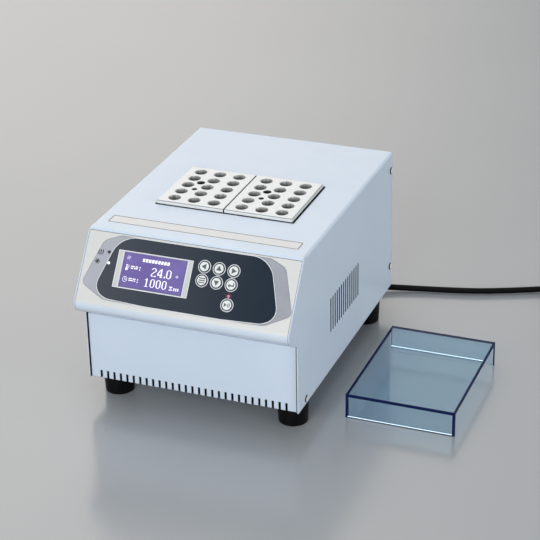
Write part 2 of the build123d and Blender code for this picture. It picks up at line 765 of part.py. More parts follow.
with BuildPart() as safety_thermostat:
    with BuildSketch(side(feature_x + 78.3)):
        with Locations((block_y, block_bottom - 4)):
            Circle(3.6)
    extrude(amount=6)
    with BuildSketch(side(feature_x + 84.3)):
        with Locations((block_y, block_bottom - 4)):
            with GridLocations(3.6, 0, 2, 1):
                Rectangle(0.8, 4)
    extrude(amount=5)
safety_thermostat.part.label = "safety_thermostat"
export_step(safety_thermostat.part, "parts/safety_thermostat.step")

# ---------------------------------------------------------------- electronics in the pan
with BuildPart() as power_supply:
    with BuildSketch(level(zb + t + 4)):
        with Locations((-26, -60)):
            Rectangle(128, 78)
    extrude(amount=38)
    chamfer(power_supply.edges().filter_by(Axis.X), 1.0)
    with BuildSketch(level(zb + t)):
        with Locations((-26, -60)):
            with GridLocations(112, 62, 2, 2):
                Circle(3)
    extrude(amount=4)
    with BuildSketch(level(zb + t + 42 - 1)):
        with Locations((-36, -60)):
            with GridLocations(9, 0, 9, 1):
                SlotOverall(48, 3, rotation=90)
    extrude(amount=3, mode=Mode.SUBTRACT)
power_supply.part.label = "power_supply"
export_step(power_supply.part, "parts/power_supply.step")

with BuildPart() as driver_board:
    with BuildSketch(level(zb + t + 6)):
        with Locations((0, -262)):
            Rectangle(170, 62)
    extrude(amount=1.6)
    with BuildSketch(level(zb + t)):
        with Locations((0, -262)):
            with GridLocations(160, 52, 2, 2):
                Circle(2.6)
    extrude(amount=6)
    with BuildSketch(level(zb + t + 7.6)):
        with Locations((-60, -262)):
            Rectangle(26, 30)
        with Locations((62, -250)):
            Rectangle(30, 18)
        with Locations((62, -276)):
            Rectangle(38, 10)
    extrude(amount=16)
    with BuildSketch(level(zb + t + 7.6)):
        with Locations((-20, -250), (0, -250), (20, -250)):
            Circle(6)
        with Locations((-10, -274)):
            Rectangle(30, 12)
    extrude(amount=12)
driver_board.part.label = "driver_board"
export_step(driver_board.part, "parts/driver_board.step")

# Flat cable from the control board down to the driver board.
rib_top = on_slope(-62, board_o)
with BuildPart() as ribbon_cable:
    with BuildSketch(side(-22)) as rib_sk:
        with BuildLine():
            Polyline(
                (rib_top[0] + 0.2, rib_top[1]), (rib_top[0] + 8, rib_top[1] - 7), (-279, 80), (-274, 48.8),
                (-273.2, 48.8), (-278.2, 80.2), (rib_top[0] + 8.8, rib_top[1] - 6.6), (rib_top[0] + 0.9, rib_top[1] + 0.6),
                close=True
            )
        make_face()
    extrude(amount=26)
ribbon_cable.part.label = "ribbon_cable"
export_step(ribbon_cable.part, "parts/ribbon_cable.step")

# ---------------------------------------------------------------- mains inlet, fuse drawer, switch
inlet_front = rear_y + 2.4      # outer face of the inlet's flange
inlet_cz = inlet_z + 7          # the module's centre: socket below, fuse drawer above
with BuildPart() as ac_inlet:
    with BuildSketch(rear(rear_y)):
        with Locations((-inlet_x, inlet_cz)):
            RectangleRounded(31.0, 49.0, 2.0)
    extrude(amount=2.4)
    with BuildSketch(rear(rear_y)):
        with Locations((-inlet_x, inlet_cz)):
            Rectangle(27.2, 44.6)
    extrude(amount=-24)
    with BuildSketch(rear(inlet_front)) as socket_sk:
        with Locations((-inlet_x, inlet_z)):
            Rectangle(24.8, 16.8)
        chamfer(socket_sk.vertices().group_by(Axis.Y)[-1], 4.0)
    extrude(amount=-17, mode=Mode.SUBTRACT)
    with BuildSketch(rear(inlet_front)):
        with Locations((-inlet_x, inlet_z + 19.0)):
            Rectangle(24.0, 15.0)
    extrude(amount=-22, mode=Mode.SUBTRACT)
    with BuildSketch(rear(inlet_front - 17)):
        with Locations((-inlet_x - 7, inlet_z + 1), (-inlet_x + 7, inlet_z + 1)):
            Rectangle(2.0, 4.0)
        with Locations((-inlet_x, inlet_z - 3.5)):
            Rectangle(2.0, 4.0)
    extrude(amount=13)
ac_inlet.part.label = "ac_inlet"
export_step(ac_inlet.part, "parts/ac_inlet.step")

with BuildPart() as fuse_drawer:
    with BuildSketch(rear(inlet_front)):
        with Locations((-inlet_x, inlet_z + 19.0)):
            Rectangle(23.2, 14.2)
    extrude(amount=-20.5)
    with BuildSketch(rear(inlet_front)):
        with Locations((-inlet_x, inlet_z + 19.0)):
            Rectangle(22.4, 13.4)
    extrude(amount=0.9)
    with BuildSketch(level(inlet_z + 19.0 + 7.5)):
        with Locations((inlet_x - 5.2, inlet_front - 11.5), (inlet_x + 5.2, inlet_front - 11.5)):
            Rectangle(6.4, 14.6)
    extrude(amount=-11, mode=Mode.SUBTRACT)
    with BuildSketch(rear(inlet_front + 0.9)):
        with Locations((-inlet_x, inlet_z + 24.4)):
            Rectangle(9, 2.4)
    extrude(amount=-1.6, mode=Mode.SUBTRACT)
fuse_drawer.part.label = "fuse_drawer"
export_step(fuse_drawer.part, "parts/fuse_drawer.step")

with BuildPart() as fuses:
    with BuildSketch(rear(inlet_front - 18.6)):
        with Locations((-inlet_x - 5.2, inlet_z + 19.0 - 1.0), (-inlet_x + 5.2, inlet_z + 19.0 - 1.0)):
            Circle(2.5)
    extrude(amount=14.2)
fuses.part.label = "fuses"
export_step(fuses.part, "parts/fuses.step")

sw_x, sw_z = 8.0, inlet_z
with BuildPart() as power_switch_housing:
    with BuildSketch(rear(rear_y)):
        with Locations((-sw_x, sw_z)):
            RectangleRounded(22.4, 30.4, 1.6)
    extrude(amount=1.9)
    with BuildSketch(rear(rear_y)):
        with Locations((-sw_x, sw_z)):
            Rectangle(19.0, 27.0)
    extrude(amount=-20)
    with BuildSketch(rear(rear_y + 1.9)):
        with Locations((-sw_x, sw_z)):
            Rectangle(16.2, 24.6)
    extrude(amount=-14, mode=Mode.SUBTRACT)
power_switch_housing.part.label = "power_switch_housing"
export_step(power_switch_housing.part, "parts/power_switch_housing.step")

# Rocker: turns 14 degrees between low round bosses on its axis. At rest its upper half is pressed in.
rock_y, rock_r, rock_tilt = rear_y - 6.0, 12.0, 7.0
with BuildPart() as power_rocker:
    with BuildSketch(Plane(origin=(ox + sw_x - 7.65, oy, 0), x_dir=(0, 1, 0), z_dir=(1, 0, 0))) as rock_sk:
        with BuildLine():
            rocker_pts = [(-3.5, 9.0), (7.6, 11.0), (6.6, 0.0), (7.6, -11.0), (-3.5, -9.0)]
            ca, sa = cos(radians(rock_tilt)), sin(radians(rock_tilt))
            Polyline(
                *[(rock_y + ca * a - sa * b, sw_z + sa * a + ca * b) for a, b in rocker_pts], close=True
            )
        make_face()
    extrude(amount=15.3)
    with BuildSketch(side(sw_x - 7.8)):
        with Locations((rock_y, sw_z)):
            Circle(2.4)
    extrude(amount=15.6)
power_rocker.part.label = "power_rocker"
export_step(power_rocker.part, "parts/power_rocker.step")

# ---------------------------------------------------------------- loose acrylic lid, standing on the bench
wall_h = lid_h - lid_t
with BuildPart() as lid_top:
    with BuildSketch(level(wall_h)):
        with Locations((lid_x + lid_w / 2, lid_y + lid_l / 2)):
            Rectangle(lid_w, lid_l)
    extrude(amount=lid_t)
    chamfer(lid_top.faces().sort_by(Axis.Z)[-1].edges(), 0.3)
lid_top.part.label = "lid_top"
export_step(lid_top.part, "parts/lid_top.step")

with BuildPart() as lid_front_wall:
    with BuildSketch(level(0)):
        with Locations((lid_x + lid_w / 2, lid_y + lid_t / 2)):
            Rectangle(lid_w, lid_t)
    extrude(amount=wall_h)
lid_front_wall.part.label = "lid_front_wall"
export_step(lid_front_wall.part, "parts/lid_front_wall.step")

with BuildPart() as lid_rear_wall:
    with BuildSketch(level(0)):
        with Locations((lid_x + lid_w / 2, lid_y + lid_l - lid_t / 2)):
            Rectangle(lid_w, lid_t)
    extrude(amount=wall_h)
lid_rear_wall.part.label = "lid_rear_wall"
export_step(lid_rear_wall.part, "parts/lid_rear_wall.step")

# ---------------------------------------------------------------- mains cord
# Angled connector in the inlet, cord straight down behind the casing, along the bench to
# the right, then wound in a coil with a tie, and the plug beside it.
cord_y = 12.5             # cord axis behind the cover's rear edge
with BuildPart() as power_connector:
    with BuildSketch(rear(inlet_front + 0.3)) as conn_sk:
        with Locations((-inlet_x, inlet_z)):
            Rectangle(24.0, 16.0)
        chamfer(conn_sk.vertices().group_by(Axis.Y)[-1], 3.8)
        with Locations((-inlet_x - 7, inlet_z + 1), (-inlet_x + 7, inlet_z + 1)):
            Rectangle(2.6, 4.6, mode=Mode.SUBTRACT)
        with Locations((-inlet_x, inlet_z - 3.5)):
            Rectangle(2.6, 4.6, mode=Mode.SUBTRACT)
    extrude(amount=-14.5)
    with BuildSketch(rear(inlet_front + 0.3)):
        with Locations((-inlet_x, inlet_z - 1)):
            RectangleRounded(28.0, 21.0, 4.0)
    extrude(amount=17.5)
    with BuildSketch(level(inlet_z - 11)):
        with Locations((inlet_x, cord_y - 2.5)):
            RectangleRounded(17.0, 15.0, 4.0)
    extrude(amount=-9)
    fillet(power_connector.edges().filter_by(lambda e: abs(e.center().Y - (oy + inlet_front + 17.8)) < 0.02), 2.0)
    with BuildSketch(Plane(origin=(ox + inlet_x, oy + cord_y - 1.5, inlet_z - 20), x_dir=(1, 0, 0), z_dir=(0, 0, -1))):
        Circle(6.2)
    with BuildSketch(Plane(origin=(ox + inlet_x, oy + cord_y - 1.5, inlet_z - 46), x_dir=(1, 0, 0), z_dir=(0, 0, -1))):
        Circle(4.4)
    loft()
power_connector.part.label = "power_connector"
export_step(power_connector.part, "parts/power_connector.step")

cord_top = (inlet_x, cord_y - 1.5, inlet_z - 46)
route = [
    cord_top,
    (54.0, 11.4, 42.0),
    (62.0, 16.0, 21.0),
    (79.0, 26.0, 8.6),
    (103.0, 37.2, 4.6),
    (128.0, 44.0, 3.9),
    (152.0, 49.6, 3.7),
    (178.0, 55.6, 3.7),
    (206.0, 63.0, 3.7),
    (238.0, 75.5, 3.7),
    (274.0, 91.5, 3.8),
    (303.0, 105.5, 4.6),
    (318.0, 112.6, 5.0),
]
# The coil is wound in two layers: inwards on the lower one, then outwards on the upper one.
coil_r_out, coil_r_in, coil_rows = 50.6, 31.7, 2
coil_r_mid = (coil_r_out + coil_r_in) / 2
coil_w = coil_r_out - coil_r_in + cord_d
join = 14.0               # straight stretch between a cord's end and the turn it runs into
coil_z0 = 1.1


def unit(v):
    n = hypot(hypot(v[0], v[1]), v[2] if len(v) > 2 else 0)
    return tuple(c / n for c in v)


def corner_radii(pts):
    out = []
    for a, b, c in zip(pts, pts[1:], pts[2:]):
        u, v = Vector(*b) - Vector(*a), Vector(*c) - Vector(*b)
        turn = radians(u.get_angle(v))
        out.append(0.45 * min(u.length, v.length) / tan(turn / 2))
    return out


def cord_tube(pts, name):
    radii = corner_radii(pts)
    world = [(ox + x, oy + y, z) for x, y, z in pts]
    with BuildPart() as tube:
        with BuildLine() as path:
            FilletPolyline(*world, radius=radii)
        with BuildSketch(Plane(origin=path.wire() @ 0, z_dir=path.wire() % 0)):
            Circle(cord_d / 2)
        sweep(path=path.wire())
    length = path.wire().length
    print(name, "radii", [round(r, 1) for r in radii], "length", round(length, 1),
          "volume ratio", round(tube.part.volume / (pi * cord_d ** 2 / 4 * length), 4))
    tube.part.label = name
    return tube, length


power_cord, tube_len = cord_tube(route, "power_cord")
export_step(power_cord.part, "parts/power_cord.step")

# The coil lies to the right of the cord's end, tangent to it at its outer turn.
hd = unit((route[-1][0] - route[-2][0], route[-1][1] - route[-2][1], 0))
outer_r = coil_r_out
coil_cx = route[-1][0] + hd[0] * join + hd[1] * outer_r
coil_cy = route[-1][1] + hd[1] * join - hd[0] * outer_r
print("coil centre", round(coil_cx, 1), round(coil_cy, 1))
with BuildPart() as cord_coil:
    with BuildSketch(Plane(origin=(ox + coil_cx, oy + coil_cy, 0), x_dir=(1, 0, 0), z_dir=(0, -1, 0))) as coil_sk:
        with Locations((coil_r_mid, coil_z0 + coil_rows * cord_d / 2)):
            RectangleRounded(coil_w, coil_rows * cord_d, 3.2)
    revolve(axis=Axis((ox + coil_cx, oy + coil_cy, 0), (0, 0, 1)), revolution_arc=360)
cord_coil.part.label = "cord_coil"
export_step(cord_coil.part, "parts/cord_coil.step")

# Strap round the coil, on the side away from both cord ends.
tie_dir = unit((0.62, 0.78, 0))
with BuildPart() as cord_tie:
    tie_plane = Plane(
        origin=(
            ox + coil_cx + tie_dir[0] * coil_r_mid + tie_dir[1] * 6.0,
            oy + coil_cy + tie_dir[1] * coil_r_mid - tie_dir[0] * 6.0,
            coil_z0 + coil_rows * cord_d / 2,
        ),
        x_dir=tie_dir,
        z_dir=(-tie_dir[1], tie_dir[0], 0),
    )
    with BuildSketch(tie_plane):
        RectangleRounded(coil_w + 3.4, coil_rows * cord_d + 2.0, 3.6)
        RectangleRounded(coil_w + 1.8, coil_rows * cord_d + 0.4, 3.0, mode=Mode.SUBTRACT)
    extrude(amount=12)
cord_tie.part.label = "cord_tie"
export_step(cord_tie.part, "parts/cord_tie.step")

# Short tail from the upper layer's outer turn to the plug, which lies on the bench beside the coil.
coil_turns = 5.368
tail_a = radians(115.33 - 360 * (coil_turns - 5))
top_z = coil_z0 + (coil_rows - 0.5) * cord_d
tail_dir = (sin(tail_a), -cos(tail_a))
tail_out = (cos(tail_a), sin(tail_a))


def tail_point(along, out, z):
    return (
        coil_cx + (outer_r + out) * tail_out[0] + along * tail_dir[0],
        coil_cy + (outer_r + out) * tail_out[1] + along * tail_dir[1],
        z,
    )


tail = [
    tail_point(join, 0, top_z),
    tail_point(join + 20, 0.3, top_z - 0.6),
    tail_point(join + 41, 2.0, top_z - 1.0),
    tail_point(join + 62, 5.5, top_z),
]
cord_tail, tail_len = cord_tube(tail, "cord_tail")
export_step(cord_tail.part, "parts/cord_tail.step")
coil_share = cord_length - tube_len - tail_len - 2 * join
print("tail", [[round(c, 2) for c in p] for p in tail], "coil share", round(coil_share, 1),
      "turns", round(coil_share / (2 * pi * coil_r_mid), 3), "entry angle", round(90 + degrees(atan2(hd[1], hd[0])), 2))

pd = unit((tail[-1][0] - tail[-2][0], tail[-1][1] - tail[-2][1], tail[-1][2] - tail[-2][2]))
plug_dir = unit((pd[0], pd[1], 0))
plug_side = (plug_dir[1], -plug_dir[0], 0)


def plug_plane(d, dz=0.0):
    return Plane(
        origin=(ox + tail[-1][0] + plug_dir[0] * d, oy + tail[-1][1] + plug_dir[1] * d, tail[-1][2] + dz),
        x_dir=plug_side,
        z_dir=plug_dir,
    )


with BuildPart() as mains_plug:
    with BuildSketch(plug_plane(0)):
        Circle(4.6)
    with BuildSketch(plug_plane(24)):
        Circle(6.4)
    loft()
    with BuildSketch(plug_plane(24)):
        RectangleRounded(20, 19, 6)
    with BuildSketch(plug_plane(36)):
        RectangleRounded(26, 23, 5)
    loft()
    with BuildSketch(plug_plane(36)):
        RectangleRounded(26, 23, 5)
    extrude(amount=14)
    fillet(mains_plug.faces().sort_by(Axis((0, 0, 0), plug_dir))[-1].edges(), 1.2)
    with BuildSketch(plug_plane(50)):
        with Locations((-6.35, 3.0), (6.35, 3.0)):
            Rectangle(1.5, 6.3)
    extrude(amount=16.5)
    with BuildSketch(plug_plane(50)):
        with Locations((0, -7.5)):
            Circle(2.4)
    extrude(amount=19)
mains_plug.part.label = "mains_plug"
export_step(mains_plug.part, "parts/mains_plug.step")
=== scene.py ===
import math

import bmesh
import bpy
from mathutils import Matrix, Vector


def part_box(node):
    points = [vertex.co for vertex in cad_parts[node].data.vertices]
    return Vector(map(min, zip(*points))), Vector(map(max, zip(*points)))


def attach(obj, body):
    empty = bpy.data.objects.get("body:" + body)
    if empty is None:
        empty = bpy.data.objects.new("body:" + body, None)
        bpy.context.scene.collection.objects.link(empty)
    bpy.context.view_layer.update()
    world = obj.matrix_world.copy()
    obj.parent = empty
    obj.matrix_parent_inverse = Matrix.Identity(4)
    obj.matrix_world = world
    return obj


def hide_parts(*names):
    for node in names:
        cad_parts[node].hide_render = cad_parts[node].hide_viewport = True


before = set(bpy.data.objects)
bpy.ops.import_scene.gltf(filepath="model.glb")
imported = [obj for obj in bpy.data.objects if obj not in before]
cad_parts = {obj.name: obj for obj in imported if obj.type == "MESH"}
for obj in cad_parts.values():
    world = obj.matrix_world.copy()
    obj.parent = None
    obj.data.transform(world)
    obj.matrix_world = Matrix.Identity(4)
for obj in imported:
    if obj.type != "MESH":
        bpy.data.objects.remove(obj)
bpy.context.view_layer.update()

bpy.context.scene.view_settings.view_transform = "Standard"

# ------------------------------------------------------------------ places
OX, OY = -73.75, 166.40      # the instrument's own frame in the row frame, mm
S54, C54 = math.sin(math.radians(54.5)), math.cos(math.radians(54.5))


def at(x, y, z):
    """Instrument frame, mm, to the row frame, m."""
    return Vector((x + OX, y + OY, z)) / 1000.0


def on_face(x, t, o=0.0):
    """Control face: x to the right, t up the slope, o out of it, mm."""
    return at(0.8 + x, -289.6 + C54 * t - S54 * o, 192.4 + S54 * t + C54 * o)


FACE_N = Vector((0, -S54, C54))

# ------------------------------------------------------------------ camera
cam_data = bpy.data.cameras.new("camera")
cam_data.lens = 120.72
cam_data.sensor_width = 36.0
cam_data.clip_start, cam_data.clip_end = 0.05, 40
cam = bpy.data.objects.new("camera", cam_data)
bpy.context.scene.collection.objects.link(cam)
right = Vector((0.93306751, 0.35925489, -0.01791507))
up = Vector((-0.14406961, 0.41888967, 0.89653522))
back = Vector((0.3295891, -0.83394686, 0.44261005))
cam.matrix_world = Matrix.Translation(at(677.757, -1797.893, 976.828)) @ Matrix((right, up, back)).transposed().to_4x4()
bpy.context.scene.camera = cam


# ------------------------------------------------------------------ material helpers
def rgb(r, g, b, a=1.0):
    """sRGB bytes to linear."""
    def lin(c):
        c = c / 255.0
        return c / 12.92 if c <= 0.04045 else ((c + 0.055) / 1.055) ** 2.4
    return (lin(r), lin(g), lin(b), a)


class Mat:
    """A node material under construction, with object coordinates in metres."""

    def __init__(self, name, base, rough=0.4, metal=0.0, spec=0.5):
        self.m = bpy.data.materials.new(name)
        self.m.use_nodes = True
        self.nt = self.m.node_tree
        self.bsdf = self.nt.nodes["Principled BSDF"]
        self.bsdf.inputs["Base Color"].default_value = base
        self.bsdf.inputs["Roughness"].default_value = rough
        self.bsdf.inputs["Metallic"].default_value = metal
        self.bsdf.inputs["Specular IOR Level"].default_value = spec
        self.co = self.nt.nodes.new("ShaderNodeTexCoord").outputs["Object"]

    def node(self, kind, **kw):
        n = self.nt.nodes.new(kind)
        for k, v in kw.items():
            setattr(n, k, v)
        return n

    def link(self, a, b):
        self.nt.links.new(a, b)

    def noise(self, scale, detail=3.0, rough=0.5, stretch=None):
        n = self.node("ShaderNodeTexNoise")
        n.inputs["Scale"].default_value = scale
        n.inputs["Detail"].default_value = detail
        n.inputs["Roughness"].default_value = rough
        if stretch:
            mp = self.node("ShaderNodeMapping")
            mp.inputs["Scale"].default_value = stretch
            self.link(self.co, mp.inputs["Vector"])
            self.link(mp.outputs["Vector"], n.inputs["Vector"])
        else:
            self.link(self.co, n.inputs["Vector"])
        return n.outputs["Fac"]

    def span(self, fac, lo, hi, a=0.3, b=0.7):
        n = self.node("ShaderNodeMapRange")
        n.inputs["From Min"].default_value = a
        n.inputs["From Max"].default_value = b
        n.inputs["To Min"].default_value = lo
        n.inputs["To Max"].default_value = hi
        self.link(fac, n.inputs["Value"])
        return n.outputs["Result"]

    def mix(self, fac, a, b):
        n = self.node("ShaderNodeMix", data_type="RGBA")
        if isinstance(fac, float):
            n.inputs["Factor"].default_value = fac
        else:
            self.link(fac, n.inputs["Factor"])
        for slot, v in (("A", a), ("B", b)):
            sock = [s for s in n.inputs if s.name == slot and s.type == "RGBA"][0]
            if isinstance(v, tuple):
                sock.default_value = v
            else:
                self.link(v, sock)
        return [s for s in n.outputs if s.type == "RGBA"][0]

    def math(self, op, a, b=0.0):
        n = self.node("ShaderNodeMath", operation=op)
        for i, v in enumerate((a, b)):
            if isinstance(v, (int, float)):
                n.inputs[i].default_value = v
            else:
                self.link(v, n.inputs[i])
        return n.outputs[0]

    def bump(self, height, dist, strength=1.0, prev=None, bevel=0.0):
        n = self.node("ShaderNodeBump")
        n.inputs["Distance"].default_value = dist
        n.inputs["Strength"].default_value = strength
        self.link(height, n.inputs["Height"])
        if bevel:
            bv = self.node("ShaderNodeBevel", samples=4)
            bv.inputs["Radius"].default_value = bevel
            self.link(bv.outputs["Normal"], n.inputs["Normal"])
        if prev is not None:
            self.link(prev, n.inputs["Normal"])
        self.link(n.outputs["Normal"], self.bsdf.inputs["Normal"])
        return n.outputs["Normal"]

    def axes(self):
        """The object coordinate's three parts."""
        sep = self.node("ShaderNodeSeparateXYZ")
        self.link(self.co, sep.inputs[0])
        return sep.outputs

    def facing(self):
        """The three parts of the flat surface's own normal."""
        sep = self.node("ShaderNodeSeparateXYZ")
        self.link(self.node("ShaderNodeNewGeometry").outputs["True Normal"], sep.inputs[0])
        return sep.outputs

    def within(self, value, lo=None, hi=None):
        """1 where lo < value < hi."""
        parts = []
        if lo is not None:
            parts.append(self.math("GREATER_THAN", value, lo))
        if hi is not None:
            parts.append(self.math("LESS_THAN", value, hi))
        return parts[0] if len(parts) == 1 else self.math("MULTIPLY", *parts)

    def all_of(self, *masks):
        out = masks[0]
        for m in masks[1:]:
            out = self.math("MULTIPLY", out, m)
        return out

    def any_of(self, *masks):
        out = masks[0]
        for m in masks[1:]:
            out = self.math("MAXIMUM", out, m)
        return out

    def base(self, sock):
        self.link(sock, self.bsdf.inputs["Base Color"])

    def roughness(self, sock):
        self.link(sock, self.bsdf.inputs["Roughness"])


def painted(name, tone, tone2, rough=0.36, bevel=0.0007, shade_masks=None):
    """Satin powder coat: fine orange peel, faint cloudiness and slight wear in the gloss.
    The mask function it is given marks painted shade: the inside is painted dark grey, and the walls of cut slots, gaps
    and seams near-black, standing in for the shade there."""
    k = Mat(name, tone, rough)
    coat = k.mix(k.span(k.noise(9, 4, 0.55), 0.0, 1.0), tone, tone2)
    if shade_masks:
        shade = k.span(k.noise(70, 4, 0.6), 0.0, 1.0)
        inner_shade, cut = shade_masks(k)
        # painted shade: dark grey inside the casing, where little light reaches
        coat = k.mix(inner_shade, coat, k.mix(shade, rgb(30, 31, 33), rgb(42, 44, 46)))
        # painted shade: near-black on the walls of slots, gaps and seams
        coat = k.mix(cut, coat, k.mix(shade, rgb(9, 9, 10), rgb(15, 15, 16)))
    k.base(coat)
    k.roughness(k.span(k.noise(55, 5, 0.6), rough - 0.05, rough + 0.07))
    n = k.bump(k.noise(820, 2, 0.5), 0.00006, 0.55, bevel=bevel)
    k.bump(k.noise(160, 2, 0.5), 0.00012, 0.25, prev=n)
    return k.m


def moulded(name, tone, tone2, rough=0.42, grain=1400, depth=0.00005, bevel=0.0005, spec=0.5):
    """Moulded plastic with a fine spark-eroded grain."""
    k = Mat(name, tone, rough, spec=spec)
    k.base(k.mix(k.span(k.noise(24, 4, 0.6), 0.0, 1.0), tone, tone2))
    k.roughness(k.span(k.noise(120, 4, 0.6), rough - 0.05, rough + 0.06))
    k.bump(k.noise(grain, 3, 0.6), depth, 0.5, bevel=bevel)
    return k.m


def metal(name, tone, tone2, rough=0.3, stretch=(30, 900, 900), depth=0.00004, metallic=1.0, bevel=0.0003):
    """Machined or brushed metal: fine lines in the gloss and the relief."""
    k = Mat(name, tone, rough, metallic)
    lines = k.noise(1.0, 4, 0.6, stretch)
    k.base(k.mix(k.span(lines, 0.0, 1.0), tone, tone2))
    k.roughness(k.span(k.noise(1.0, 3, 0.6, stretch), rough - 0.07, rough + 0.1))
    k.bump(lines, depth, 0.4, bevel=bevel)
    return k.m


def rubber(name, tone, tone2, rough=0.55, depth=0.00008):
    k = Mat(name, tone, rough, spec=0.12)
    k.base(k.mix(k.span(k.noise(60, 5, 0.65), 0.0, 1.0), tone, tone2))
    k.roughness(k.span(k.noise(200, 4, 0.6), rough - 0.08, rough + 0.1))
    k.bump(k.noise(1100, 3, 0.65), depth, 0.6, bevel=0.0006)
    return k.m


def ink(name, tone, rough=0.45, tone2=None):
    """Screen-printed ink with a slightly uneven film."""
    k = Mat(name, tone, rough)
    k.base(k.mix(k.span(k.noise(500, 3, 0.6), 0.0, 1.0), tone, tone2 or tuple(min(1, c * 1.15) for c in tone[:3]) + (1.0,)))
    k.bump(k.noise(1500, 2, 0.5), 0.00002, 0.4)
    return k.m


M = {}


def mm(x=None, y=None, z=None):
    """One coordinate of the instrument frame in the row frame, m."""
    return (x + OX) / 1000 if x is not None else (y + OY) / 1000 if y is not None else z / 1000


# Masks of painted shade on the cover: its inside, the walls of its side louvres, the cut edge round the block opening
# and its inner faces by the front edge
def cover_shade_masks(k):
    x, y, z = k.axes()
    n = k.facing()
    inner = k.all_of(k.within(x, mm(x=-116.85), mm(x=116.85)), k.within(y, mm(y=-287)), k.within(z, None, 0.19315))
    deep = k.within(k.math("ABSOLUTE", n[0]), None, 0.5)
    louvre = k.all_of(k.within(y, mm(y=-214), mm(y=-118)), k.within(z, 0.071, 0.1135), deep)
    edge = k.all_of(k.within(x, mm(x=-77.3), mm(x=78.9)), k.within(y, mm(y=-215.6), mm(y=-116.0)), k.within(z, 0.193, 0.1942),
                    k.within(k.math("ABSOLUTE", n[2]), None, 0.5))
    flank = k.all_of(k.within(x, mm(x=-116.85), mm(x=116.85)), k.within(y, None, mm(y=-300)), k.within(z, None, 0.112))
    return inner, k.any_of(louvre, edge, flank)


# Masks of painted shade on the base pan: its inside, the walls and tops of its slots, its cut ends, dark rims round
# each front slot and a shadow line along its right-hand end
def pan_shade_masks(k):
    x, y, z = k.axes()
    n = k.facing()
    inner = k.all_of(k.within(y, mm(y=-307.9)), k.within(z, 0.0291))
    ends = k.all_of(k.within(k.math("ABSOLUTE", n[0]), 0.5), k.any_of(k.within(x, None, mm(x=-115)), k.within(x, mm(x=115))))
    slots = k.all_of(k.within(x, mm(x=-113), mm(x=113)), k.within(z, None, 0.0371), k.within(k.math("ABSOLUTE", n[0]), 0.5))
    tops = k.all_of(k.within(x, mm(x=-113), mm(x=113)), k.within(z, 0.0365, 0.0371), k.within(k.math("ABSOLUTE", n[2]), 0.5))
    pitch = k.math("DIVIDE", k.math("SUBTRACT", x, mm(x=0)), 0.00746)
    aside = k.math("ABSOLUTE", k.math("SUBTRACT", k.math("FRACT", k.math("ADD", pitch, 0.5)), 0.5))
    arris = k.all_of(k.within(aside, None, 0.175), k.within(k.math("ABSOLUTE", pitch), None, 14.4), k.within(z, None, 0.0376), k.within(y, None, mm(y=-305)))
    seam_shade = k.all_of(k.within(x, mm(x=115.2)), k.within(y, None, mm(y=-306)))
    return inner, k.any_of(slots, tops, ends, arris, seam_shade)


def bezel_plastic():
    """Warm white where the control face lies flat, cooler on the rolled nose and the ends."""
    k = Mat("bezel_plastic", rgb(236, 236, 234), 0.33)
    dot = k.node("ShaderNodeVectorMath", operation="DOT_PRODUCT")
    k.link(k.node("ShaderNodeNewGeometry").outputs["Normal"], dot.inputs[0])
    dot.inputs[1].default_value = FACE_N
    flat = k.node("ShaderNodeMapRange", interpolation_type="SMOOTHSTEP")
    flat.inputs["From Min"].default_value = 0.9
    flat.inputs["From Max"].default_value = 0.999
    k.link(dot.outputs["Value"], flat.inputs["Value"])
    cool = k.mix(k.span(k.noise(24, 4, 0.6), 0.0, 1.0), rgb(216, 226, 238), rgb(222, 231, 242))
    warm = k.mix(k.span(k.noise(24, 4, 0.6), 0.0, 1.0), rgb(219, 218, 213), rgb(223, 222, 217))
    k.base(k.mix(flat.outputs["Result"], cool, warm))
    k.roughness(k.span(k.noise(120, 4, 0.6), 0.28, 0.39))
    k.bump(k.noise(1500, 3, 0.6), 0.00003, 0.5, bevel=0.0009)
    return k.m


M["cover"] = painted("cover_paint", rgb(212, 224, 238), rgb(217, 228, 241), 0.34, shade_masks=cover_shade_masks)
M["pan"] = painted("pan_paint", rgb(212, 224, 238), rgb(217, 228, 241), 0.36, shade_masks=pan_shade_masks)
M["rear"] = painted("rear_paint", rgb(212, 224, 238), rgb(217, 228, 241), 0.36)
M["bezel"] = bezel_plastic()


def inlay_grey():
    """Printed grey band, with painted shade making it a touch darker towards the right."""
    k = Mat("inlay_grey", rgb(174, 175, 182), 0.42, spec=0.4)
    lo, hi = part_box("grey_inlay")
    drift = k.span(k.axes()[0], 0.0, 1.0, lo[0], hi[0])
    # painted shade: the grey darkens towards the right, standing in for the light falling off across the band
    tone = k.mix(drift, rgb(178, 178, 185), rgb(154, 155, 163))
    k.base(k.mix(k.span(k.noise(60, 4, 0.6), 0.0, 0.3), tone, rgb(186, 187, 193)))
    k.roughness(k.span(k.noise(120, 4, 0.6), 0.38, 0.46))
    k.bump(k.noise(1800, 3, 0.6), 0.00001, 0.4)
    return k.m


M["inlay"] = inlay_grey()
M["ivory"] = moulded("ivory_plastic", rgb(204, 205, 200), rgb(212, 213, 207), 0.38, 1500, 0.00002)
M["pale_line"] = ink("frame_line_ink", rgb(250, 250, 250), 0.35, rgb(254, 254, 254))
M["lavender_line"] = ink("window_line_ink", rgb(224, 224, 248), 0.35, rgb(232, 232, 252))


